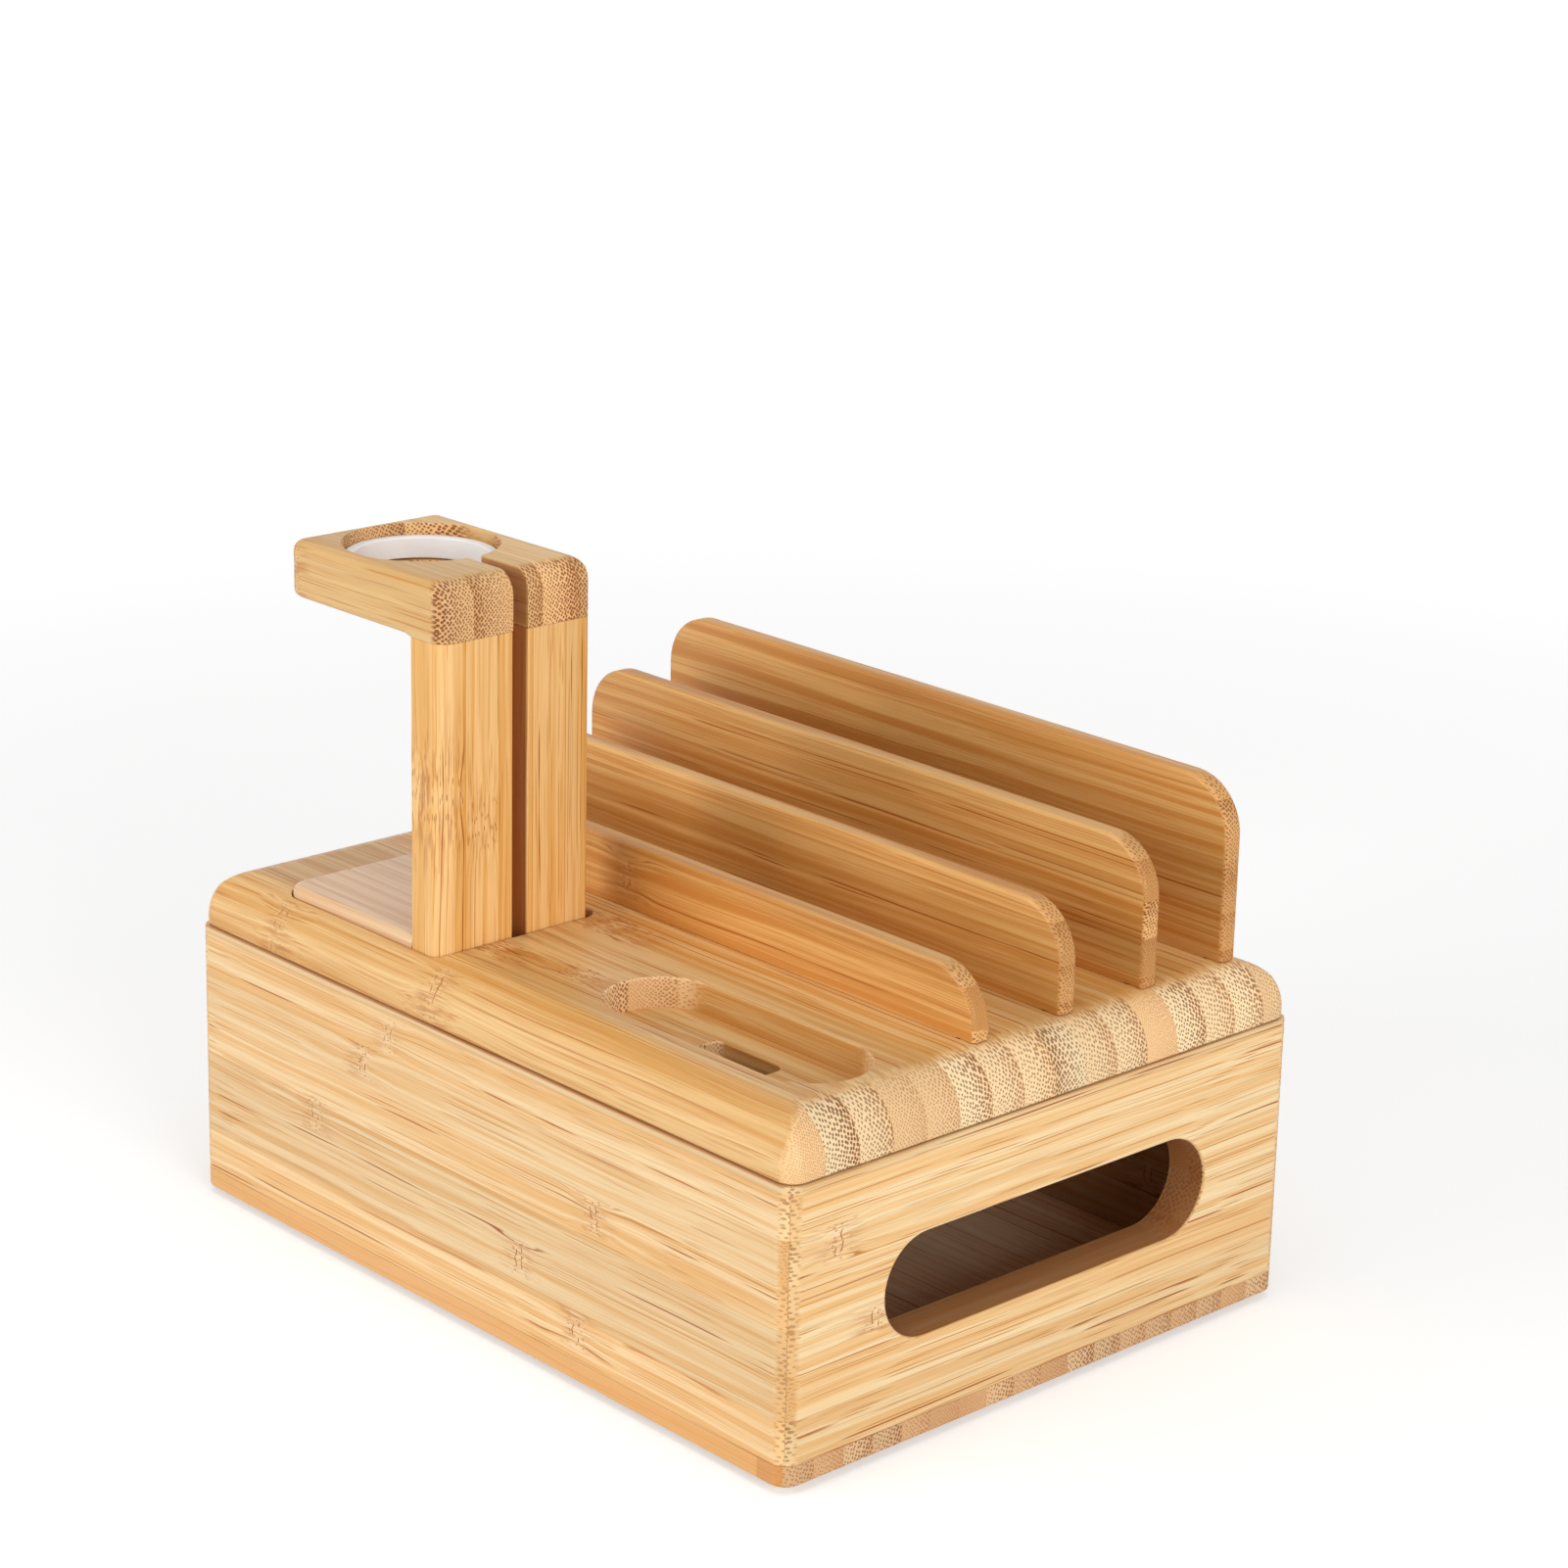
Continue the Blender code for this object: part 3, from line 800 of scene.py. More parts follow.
@dataclass(frozen=True)
class BambooFinish:
    """Laminated bamboo under a satin lacquer; lengths in millimetres, colours linear."""

    name: str
    grain: Grain
    strip_width: float = 8.4
    strip_start: float = 5.8
    seed: float = 0.0
    pale: Colour = (0.95, 0.70, 0.39)
    warm: Colour = (0.82, 0.47, 0.17)
    streak: Colour = (0.60, 0.24, 0.04)
    line: Colour = (0.43, 0.12, 0.014)
    end_pale: Colour = (0.95, 0.66, 0.33)
    end_warm: Colour = (0.80, 0.45, 0.17)
    dot: Colour = (0.27, 0.08, 0.014)
    layer_depth: float = 9.3
    layer_start: float = 0.0
    bundle_pitch: float = 0.8
    kinds: tuple[float, ...] = ()
    streak_strength: float = 0.45
    tone_spread: float = 0.16
    slant_dots: float = 1.0
    seam_depth: float = 0.25
    roughness: float = 0.42
    specular: float = 0.3
    lacquer: float = 0.15
    lacquer_roughness: float = 0.28
    relief: float = 0.12
    knuckles: tuple[Knuckle, ...] = ()
    hollows: tuple[Hollow, ...] = ()

    def chosen_kind(self, g: Graph, across: Value) -> Value | float:
        """Look up the kind of the strip: 0 has bold open bundles, 1 has fine faint ones.

        Args:
            g: Graph of the material.
            across: Place across the strips.

        Returns:
            The kind at this place, or a constant when the strips draw their kind by lot.
        """
        if not self.kinds:
            return 0.5
        count = len(self.kinds)
        place = g.span(across, self.strip_start, self.strip_start + count * self.strip_width)
        node = g.node("ShaderNodeValToRGB", {0: place})
        ramp = node.color_ramp
        ramp.interpolation = "CONSTANT"
        while len(ramp.elements) < count:
            ramp.elements.new(1.0)
        for index, kind in enumerate(self.kinds):
            ramp.elements[index].position = index / count
            ramp.elements[index].color = (kind, kind, kind, 1.0)
        return Value(g, node.outputs["Color"])

    def face(self, g: Graph, wood: dict[str, Value], halo: Value | float) -> Value:
        """Colour the long faces.

        Args:
            g: Graph of the material.
            wood: Outputs of the fibre group.
            halo: Pale halo of the knuckles.

        Returns:
            The colour.
        """
        strong = self.streak_strength
        face = g.blend(g.ease(wood["Broad"], 0.36, 0.64), self.pale, self.warm)
        face = g.blend(g.ease(wood["Fine"], 0.45, 0.75, 0.0, strong * 0.7), face, self.streak)
        face = g.blend(wood["Threads"] * (strong * 1.5), face, self.streak)
        face = g.blend(wood["Lines"] * (strong * 1.9), face, self.line)
        return g.blend(halo * 0.4, face, self.pale)

    def ends(self, g: Graph, wood: dict[str, Value], square_cut: Value) -> Value:
        """Colour the end grain, where the bundles show as dots.

        Args:
            g: Graph of the material.
            wood: Outputs of the fibre group.
            square_cut: How square the face cuts the fibres.

        Returns:
            The colour.
        """
        kind, skin = wood["Strip Kind"], wood["Skin Side"]
        ground = g.blend(g.span(kind, 0.1, 0.9), self.end_pale, self.end_warm)
        ground = g.blend(g.ease(skin, 0.5, 1.0, 0.0, 0.6), ground, self.end_warm)
        depth = g.span(kind, 0.0, 1.0, 1.0, 0.5) * g.span(wood["Bundle Tone"], 0.0, 1.0, 0.88, 1.0)
        depth = depth * g.span(square_cut, 0.0, 1.0, self.slant_dots, 1.0) * g.span(skin, 0.0, 1.0, 0.92, 1.0)
        return g.blend(wood["Bundles"] * depth, ground, self.dot)

    def material(self) -> bpy.types.Material:
        """Build the material.

        Returns:
            A material whose fibres run through the board as one solid texture.
        """
        g = MaterialGraph(self.name, self.warm)
        millimetres = g.millimetres()
        axes = g.split(millimetres)
        along, across, through = (axes[index] for index in self.grain.value)
        place = g.combine(along, across, through)
        grain_axis = tuple(float(index == self.grain.value[0]) for index in range(3))

        shift: Any = 0.0
        marks: Any = 0.0
        halo: Any = 0.0
        for knuckle in self.knuckles:
            found = g.shared(knuckle_group(), {"Place": place, **knuckle.sockets()})
            shift = found["Shift"] + shift
            marks = g.math("MAXIMUM", marks, found["Marks"])
            halo = g.math("MAXIMUM", halo, found["Halo"])
        wood = g.shared(
            fibre_group(),
            {
                "Place": place,
                "Shift": shift,
                "Strip Width": self.strip_width,
                "Strip Start": self.strip_start,
                "Layer Depth": self.layer_depth,
                "Layer Start": self.layer_start,
                "Bundle Pitch": self.bundle_pitch,
                "Chosen Kind": self.chosen_kind(g, across),
                "Kind Share": float(bool(self.kinds)),
                "Seed": self.seed,
            },
        )
        end_grain = g.shared(end_grain_group(), {"Normal": g.normal, "Grain": grain_axis})
        cut = end_grain["Mask"]

        colour = g.blend(cut, self.face(g, wood, halo), self.ends(g, wood, end_grain["Square Cut"]))
        tone = g.span(wood["Strip Tone"], 0.0, 1.0, 1.0 - self.tone_spread, 1.0)
        colour = g.blend(1.0, colour, g.combine(tone, tone, tone), "MULTIPLY")
        colour = g.blend(wood["Seam"] * self.seam_depth, colour, self.streak)
        colour = g.blend(marks, colour, self.line)
        # Darker boxes: painted shade in hollows and at joints, and a deeper tone on the panel's edges
        for hollow in self.hollows:
            mask = g.shared(hollow_group(), {"Place": millimetres, **hollow.sockets()})["Mask"]
            colour = g.blend(mask * hollow.depth, colour, hollow.scorch)

        surface = g.shared(sanding_group(), {"Place": place})
        rough = (surface["Value"] - 0.5) * 0.12 + self.roughness + cut * 0.12 + wood["Bundles"] * 0.06
        height = wood["Fine"] * -0.35 + wood["Bundles"] * -0.5 + surface["Height"] * 0.15
        return g.dress(
            {
                "Base Color": colour,
                "Roughness": rough,
                "Normal": g.bump(height, 0.25, self.relief * MM),
                "Specular IOR Level": self.specular,
                "Coat Weight": self.lacquer,
                "Coat Roughness": self.lacquer_roughness,
            }
        )


@dataclass(frozen=True)
class MouldedFinish:
    """A moulded rubber or silicone with a soft matt skin, faint clouds of tone and a fine grain."""

    name: str
    light: Colour
    shade: Colour
    roughness: float
    roughness_swing: float = 0.06
    relief: float = 0.05

    def material(self) -> bpy.types.Material:
        """Build the material.

        Returns:
            A material whose clouds and grain run through the piece.
        """
        g = MaterialGraph(self.name, self.light)
        surface = g.shared(sanding_group(), {"Place": g.millimetres()})
        least, most = self.roughness - self.roughness_swing, self.roughness + self.roughness_swing
        return g.dress(
            {
                "Base Color": g.blend(g.ease(surface["Value"], 0.35, 0.65), self.shade, self.light),
                "Roughness": g.span(surface["Value"], 0.3, 0.7, least, most),
                "Normal": g.bump(surface["Height"], 0.2, self.relief * MM),
            }
        )


def rim_hollows(
    half_x: float, half_y: float, levels: tuple[float, float], depth: float, width: float = 0.6
) -> list[Hollow]:
    """Darken a narrow rim round the box with painted shade, for the shadow line at the joint of box and lid.

    Args:
        half_x: Half the length of the box, in millimetres.
        half_y: Half its depth.
        levels: Where the rim starts and ends, upward.
        depth: How dark it is.
        width: How far it reaches inward.

    Returns:
        The rims at front and back, then those at the left and right end.
    """
    low, high = levels
    x, y = half_x + PAST_WOOD, half_y + PAST_WOOD
    boxes = [
        ((-x, -y, low), (x, width - half_y, high)),
        ((-x, half_y - width, low), (x, y, high)),
        ((-x, -y, low), (width - half_x, y, high)),
        ((half_x - width, -y, low), (x, y, high)),
    ]
    return [Hollow(start, end, depth, JOINT_SHADE) for start, end in boxes]


# ---------------------------------------------------------------- sub-assemblies


@dataclass
class BoxShell:
    """Four mitred walls on a bottom panel, with a long opening in each end wall."""

    length: float = 175.0 * MM
    depth: float = 130.0 * MM
    wall: float = 9.0 * MM
    wall_base: float = 5.8 * MM
    wall_top: float = 57.6 * MM
    corner_radius: float = 3.7 * MM
    panel_base: float = 1.5 * MM
    edge: float = 0.3 * MM
    foot_edge: float = 0.08 * MM
    opening_length: float = 83.2 * MM
    opening_height: float = 20.0 * MM
    opening_middle: float = 31.0 * MM
    opening_rim: float = 0.5 * MM
    foot_inset: float = 14.0 * MM
    foot_radius: float = 4.5 * MM
    foot_recess: float = 1.0 * MM
    seam: float = 0.04 * MM
    ledge: float = 0.25 * MM
    corner_steps: int = 8
    foot_steps: int = 32

    def wall_outline(self, length: float, inset: float) -> Outline:
        """Draw the plan of a wall as if it stood at the front.

        Args:
            length: Length of the wall.
            inset: How far its outer and inner faces move inward.

        Returns:
            Outer face, rounded mitre end, inner face, other mitre end.
        """
        half = length / 2
        radius = self.corner_radius
        seam = self.seam / math.sqrt(2)
        end = -45 - math.degrees(math.asin(self.seam / (2 * radius)))
        right = arc((half - radius, radius), radius - inset, -90, end, self.corner_steps)
        inner = self.wall - inset
        right.append((half - inner - seam, inner))
        return right + [(-across, up) for across, up in reversed(right)]

    def walls(self) -> dict[str, bpy.types.Object]:
        """Build the four walls.

        Returns:
            The walls by the name of the node that each stands for.
        """
        half_x, half_y = self.length / 2, self.depth / 2
        turns = {
            "front_wall": (self.length, lambda a, u: (a, u - half_y)),
            "back_wall": (self.length, lambda a, u: (-a, half_y - u)),
            "right_wall": (self.depth, lambda a, u: (half_x - u, a)),
            "left_wall": (self.depth, lambda a, u: (u - half_x, -a)),
        }
        levels = eased(self.wall_base - GAP / 2, self.wall_top, self.foot_edge, self.edge, 4)
        made = {}
        for name, (length, turn) in turns.items():
            def outline(inset: float, length: float = length, turn: Any = turn) -> Outline:
                """Draw this wall's plan in its place."""
                return [turn(a, u) for a, u in self.wall_outline(length, inset)]

            made[name] = solid(name + "_board", Plane.PLAN, outline, levels)
        return made

    def opening(self, side: int) -> bpy.types.Object:
        """Make the cutter of an end wall's opening.

        Args:
            side: 1 for the right wall and -1 for the left.

        Returns:
            The cutter.
        """
        outer = side * self.length / 2
        low, high = sorted((outer, outer - side * self.wall))
        rim = self.opening_rim

        def outline(inset: float) -> Outline:
            """Draw the opening from the side."""
            return stadium((0, self.opening_middle), self.opening_length, self.opening_height, inset)

        return flared("opening_cutter", Plane.SIDE, outline, low, high, rim, rim)

    def panel(self) -> bpy.types.Object:
        """Build the bottom panel with its four foot recesses.

        Returns:
            The panel.
        """
        half_x, half_y = self.length / 2, self.depth / 2
        radii = [self.corner_radius] * 4
        board = solid(
            "bottom_board",
            Plane.PLAN,
            lambda inset: rounded_rectangle((-half_x, -half_y), (half_x, half_y), radii, inset),
            eased(self.panel_base, self.wall_base - GAP / 2 - HAIRLINE, self.edge * 2, self.foot_edge),
        )
        recesses = []
        for x in (self.foot_inset - half_x, half_x - self.foot_inset):
            for y in (self.foot_inset - half_y, half_y - self.foot_inset):
                def ring(inset: float, x: float = x, y: float = y) -> Outline:
                    """Draw a recess's circle."""
                    return circle((x, y), self.foot_radius + GAP - inset, self.foot_steps)

                low, high = self.panel_base - OVERRUN, self.panel_base + self.foot_recess
                recesses.append(solid("recess_cutter", Plane.PLAN, ring, [(low, 0.0), (high, 0.0)]))
        carve(board, recesses)
        return board

    def finishes(self) -> dict[str, BambooFinish]:
        """Choose the bamboo of the walls and of the panel; shade is painted inside the box, on the reveals
        and along the top rims.

        Returns:
            The finishes by the name of the node.
        """
        half_x, half_y, top = self.length / 2 / MM, self.depth / 2 / MM, self.wall_top / MM
        into_wall, round_opening, under_face = 0.5, 0.2, 0.4
        inner_x, inner_y = half_x - self.wall / MM + into_wall, half_y - self.wall / MM + into_wall
        # painted shade over the inside of the box
        inside = Hollow((-inner_x, -inner_y, 0.0), (inner_x, inner_y, top + PAST_WOOD), 0.6, SHADED)
        across = self.opening_length / 2 / MM + round_opening
        up = self.opening_height / 2 / MM + round_opening
        low, high = self.opening_middle / MM - up, self.opening_middle / MM + up
        outer_x = half_x - under_face
        # painted shade on the reveals of the openings in the end walls
        reveals = [
            Hollow((start, -across, low), (end, across, high), 0.7, REVEAL_SHADE)
            for start, end in ((inner_x, outer_x), (-outer_x, -inner_x))
        ]
        # painted shade along the walls' top rims, in the joint line under the lid
        levels = (top - self.ledge / MM, top + PAST_WOOD)
        long_ledges = rim_hollows(half_x, half_y, levels, 0.7)[:2]
        end_ledges = rim_hollows(half_x, half_y, levels, 0.3)[2:]
        long_wall = {
            "grain": Grain.ALONG_X_STACKED_Z,
            "warm": (0.84, 0.49, 0.19),
            "streak_strength": 0.56,
            "slant_dots": 0.7,
            "hollows": (inside, *long_ledges),
        }
        end_wall = {
            "grain": Grain.ALONG_Y_STACKED_Z,
            "pale": (1.0, 0.76, 0.43),
            "warm": (0.92, 0.56, 0.23),
            "streak_strength": 0.66,
            "slant_dots": 0.7,
            "hollows": (inside, *reveals, *end_ledges),
        }
        front_knuckles = (
            Knuckle(-32.8, 44.5),
            Knuckle(-48.5, 28.7),
            Knuckle(36.2, 35.7),
            Knuckle(14.8, 20.3),
            Knuckle(31.4, 11.6),
            Knuckle(-24.7, 52.0, strength=0.7),
        )
        back_knuckles = (Knuckle(-58.0, 35.6), Knuckle(-8.0, 52.4), Knuckle(22.5, 27.3), Knuckle(61.0, 18.9))
        right_knuckles = (Knuckle(-53.4, 45.2), Knuckle(-44.0, 28.0, 3.0))
        walls = {
            "front_wall": (3.0, front_knuckles, long_wall),
            "back_wall": (7.0, back_knuckles, long_wall),
            "right_wall": (11.0, right_knuckles, end_wall),
            "left_wall": (17.0, (Knuckle(28.0, 47.0),), end_wall),
        }
        made = {
            name: BambooFinish(name + "_bamboo", seed=seed, knuckles=knuckles, **looks)
            for name, (seed, knuckles, looks) in walls.items()
        }
        end_x, corner_x, above_panel = 88.0, 80.5, 6.0
        panel_edges = [
            Hollow((-end_x, y - PAST_WOOD, -PAST_WOOD), (end_x, y + PAST_WOOD, above_panel), 0.6, PANEL_EDGE_TONE)
            for y in (-half_y, half_y)
        ]
        panel_corner = Hollow(
            (corner_x, -half_y - PAST_WOOD, -PAST_WOOD), (end_x, PAST_WOOD - half_y, above_panel), 0.35, PANEL_CORNER_TONE
        )
        made["bottom_panel"] = BambooFinish(
            "panel_bamboo",
            Grain.ALONG_X_STACKED_Y,
            strip_width=7.1,
            strip_start=-65.0,
            seed=23.0,
            # painted light: the panel's colours are lighter than the walls' so that the floor inside the box
            # shows brighter
            pale=(1.0, 0.78, 0.56),
            warm=(0.92, 0.62, 0.40),
            end_pale=(0.82, 0.55, 0.30),
            end_warm=(0.68, 0.38, 0.17),
            bundle_pitch=0.7,
            hollows=(*panel_edges, panel_corner),
        )
        return made

    def build(self) -> None:
        """Build the shell and fit it to the frame."""
        boards = self.walls()
        for name, side in (("right_wall", 1), ("left_wall", -1)):
            carve(boards[name], [self.opening(side)])
        boards["bottom_panel"] = self.panel()
        finishes = self.finishes()
        for name, board in boards.items():
            fit(board, "box", finishes[name].material(), "bamboo", name)


@dataclass
class LiftOffLid:
    """Lid board with a large roundover, stopped grooves, two pockets, four slots and a hole."""

    half_length: float = 87.0 * MM
    half_depth: float = 64.5 * MM
    base: float = 57.83 * MM
    top: float = 69.1 * MM
    lip: float = 1.67 * MM
    corner_radius: float = 3.6 * MM
    soft_corner: float = 1.2 * MM
    heel: float = 0.3 * MM
    rim: float = 0.35 * MM
    groove_rim: float = 0.15 * MM
    pocket_rim: float = 0.5 * MM
    groove_length: float = 155.1 * MM
    groove_width: float = 4.4 * MM
    groove_floor: float = 63.8 * MM
    divider_places: tuple[float, ...] = (-11.8 * MM, 10.24 * MM, 32.28 * MM, 54.32 * MM)
    earbud_middle: tuple[float, float] = (46.7 * MM, -41.1 * MM)
    earbud_length: float = 61.4 * MM
    earbud_width: float = 21.8 * MM
    earbud_floor: float = 63.1 * MM
    slot_length: float = 17.8 * MM
    slot_width: float = 8.0 * MM
    slot_radius: float = 2.0 * MM
    stand_low: tuple[float, float] = (-66.0 * MM, -59.2 * MM)
    stand_high: tuple[float, float] = (-15.9 * MM, -20.3 * MM)
    stand_radius: float = 3.6 * MM
    stand_floor: float = 61.5 * MM
    plug_length: float = 16.0 * MM
    plug_width: float = 8.0 * MM
    plug_y: float = -40.0 * MM
    joint_level: float = 58.2 * MM
    round_steps: int = 16
    corner_steps: int = 6
    groove_steps: int = 12
    pocket_steps: int = 28

    def board(self) -> bpy.types.Object:
        """Build the uncut board with its roundover.

        Returns:
            The board; its plan corners stay a little round all the way up.
        """
        size = self.top - self.base - self.lip
        levels = eased(self.base, self.base + self.lip, self.heel, 0.0, 3)
        for step in range(1, self.round_steps + 1):
            angle = math.radians(90 * step / self.round_steps)
            levels.append((self.top - size + size * math.sin(angle), size * (1 - math.cos(angle))))
        low, high = (-self.half_length, -self.half_depth), (self.half_length, self.half_depth)

        def outline(inset: float) -> Outline:
            """Draw the plan at an inset; the corner radius never falls below the soft corner."""
            radius = max(self.corner_radius, self.soft_corner + inset)
            return rounded_rectangle(low, high, [radius] * 4, inset, self.corner_steps)

        return solid("lid_board", Plane.PLAN, outline, levels)

    def cutters(self) -> list[bpy.types.Object]:
        """Make the cutters of all grooves, pockets and slots.

        Returns:
            The cutters, in the order in which they cut.
        """
        made = []
        for y in self.divider_places:
            def groove(inset: float, y: float = y) -> Outline:
                """Draw a divider's groove."""
                return stadium((0, y), self.groove_length, self.groove_width, inset, self.groove_steps)

            levels = (self.groove_floor, self.top)
            made.append(flared("groove_cutter", Plane.PLAN, groove, *levels, self.groove_rim))

        def earbud(inset: float) -> Outline:
            """Draw the pocket with round ends."""
            size = (self.earbud_length, self.earbud_width)
            return stadium(self.earbud_middle, *size, inset, self.pocket_steps)

        def stand(inset: float) -> Outline:
            """Draw the stand's pocket."""
            return rounded_rectangle(self.stand_low, self.stand_high, [self.stand_radius] * 4, inset)

        def plug(inset: float) -> Outline:
            """Draw the hole in the stand's pocket; both end at the same place on the right."""
            x = self.stand_high[0] - self.plug_length / 2
            return stadium((x, self.plug_y), self.plug_length, self.plug_width, inset)

        made.append(flared("earbud_cutter", Plane.PLAN, earbud, self.earbud_floor, self.top, self.pocket_rim))
        made.append(flared("stand_cutter", Plane.PLAN, stand, self.stand_floor, self.top, self.rim))
        made.append(flared("plug_cutter", Plane.PLAN, plug, self.base, self.stand_floor, self.rim, self.rim))
        bays = [(a + b) / 2 for a, b in zip(self.divider_places, self.divider_places[1:])]
        slots = [(self.earbud_middle, self.earbud_floor)] + [((0.0, y), self.top) for y in bays]
        for middle, level in slots:
            low = (middle[0] - self.slot_length / 2, middle[1] - self.slot_width / 2)
            high = (middle[0] + self.slot_length / 2, middle[1] + self.slot_width / 2)

            def slot(inset: float, low: Any = low, high: Any = high) -> Outline:
                """Draw a slot."""
                return rounded_rectangle(low, high, [self.slot_radius] * 4, inset)

            made.append(flared("slot_cutter", Plane.PLAN, slot, self.base, level, self.rim, self.rim))
        return made

    def build(self) -> None:
        """Build the lid and fit it to the frame."""
        # painted shade along the lid's lower rim, in the joint line over the box
        levels = (self.base / MM - PAST_WOOD, self.joint_level / MM)
        rims = rim_hollows(self.half_length / MM, self.half_depth / MM, levels, 0.45)
        finish = BambooFinish(
            "lid_bamboo",
            Grain.ALONG_X_STACKED_Y,
            strip_width=8.1,
            strip_start=-64.6,
            seed=5.0,
            kinds=(0.95, 0.0, 0.3, 0.8, 0.75, 0.1, 0.35, 0.4, 0.1, 0.4, 0.3, 0.95, 0.05, 0.35, 0.15, 0.7),
            pale=(0.86, 0.56, 0.24),
            warm=(0.70, 0.35, 0.09),
            layer_depth=12.0,
            layer_start=57.5,
            streak=(0.56, 0.21, 0.03),
            line=(0.42, 0.12, 0.012),
            end_pale=(1.0, 0.76, 0.44),
            end_warm=(0.92, 0.57, 0.27),
            dot=DARK_DOT,
            bundle_pitch=0.68,
            streak_strength=0.78,
            lacquer=0.25,
            knuckles=(
                Knuckle(-62.0, -63.5, 4.0, strength=0.8),
                Knuckle(-13.0, -62.5, 3.0),
                Knuckle(-13.0, -48.0, 4.0, 2.2, 0.0, 2.2),
                Knuckle(8.5, -45.0, 3.5, 1.6, 0.0, 2.2),
                Knuckle(-9.0, -23.5, 5.0, 2.6, 0.0, 2.2),
            ),
            hollows=tuple(rims[:2]),
        )
        lid = self.board()
        carve(lid, self.cutters())
        fit(lid, "lid", finish.material(), "lid_bamboo", "lid_panel")


@dataclass
class DividerRow:
    """Four thin boards with round upper corners, each taller than the one before."""

    places: tuple[float, ...] = LiftOffLid.divider_places
    heights: tuple[float, ...] = (13.0 * MM, 20.47 * MM, 27.94 * MM, 35.41 * MM)
    lid_top: float = LiftOffLid.top
    half_length: float = 79.7 * MM
    thickness: float = 4.1 * MM
    tongue: float = 75.2 * MM
    tongue_depth: float = 5.0 * MM
    corner_radius: float = 11.0 * MM
    straight: float = 1.8 * MM
    shoulder_gap: float = 0.12 * MM
    edge: float = 0.9 * MM
    corner_steps: int = 24
    first_seed: float = 37.0
    seed_step: float = 7.0
    layer: float = 6.0

    def outline(self, height: float, inset: float) -> Outline:
        """Draw a divider from the front.

        Args:
            height: Its height above the lid.
            inset: How far its free edges move inward.

        Returns:
            Tongue, shoulders and the arcs of the upper corners.
        """
        radius = min(self.corner_radius, height - self.straight)
        foot = self.lid_top + self.shoulder_gap
        top = self.lid_top + height
        right = [(self.tongue, self.lid_top - self.tongue_depth), (self.tongue, foot)]
        right.append((self.half_length - inset, foot))
        right += arc((self.half_length - radius, top - radius), radius - inset, 0, 90, self.corner_steps)
        return right + [(-across, up) for across, up in reversed(right)]

    def build(self) -> None:
        """Build the dividers and fit them to the frame."""
        half = self.thickness / 2
        for index, (y, height) in enumerate(zip(self.places, self.heights), start=1):
            name = f"divider_{index}"

            def outline(inset: float, height: float = height) -> Outline:
                """Draw this divider."""
                return self.outline(height, inset)

            levels = eased(y - half, y + half, self.edge, self.edge)
            board = solid(f"divider_board_{index}", Plane.FRONT, outline, levels)
            finish = BambooFinish(
                f"divider_bamboo_{index}",
                Grain.ALONG_X_STACKED_Z,
                strip_width=7.3,
                strip_start=64.1,
                seed=self.first_seed + self.seed_step * (index - 1),
                pale=(0.82, 0.46, 0.15),
                warm=(0.62, 0.26, 0.05),
                end_pale=(0.78, 0.42, 0.15),
                end_warm=(0.60, 0.27, 0.07),
                dot=DARK_DOT,
                layer_depth=self.layer,
                layer_start=y / MM - self.layer / 2,
                bundle_pitch=0.6,
                streak_strength=0.62,
                knuckles=(Knuckle(-15.6, 75.5, 5.0),) if index == 1 else (),
            )
            fit(board, name + "_body", finish.material(), "divider_bamboo", name)


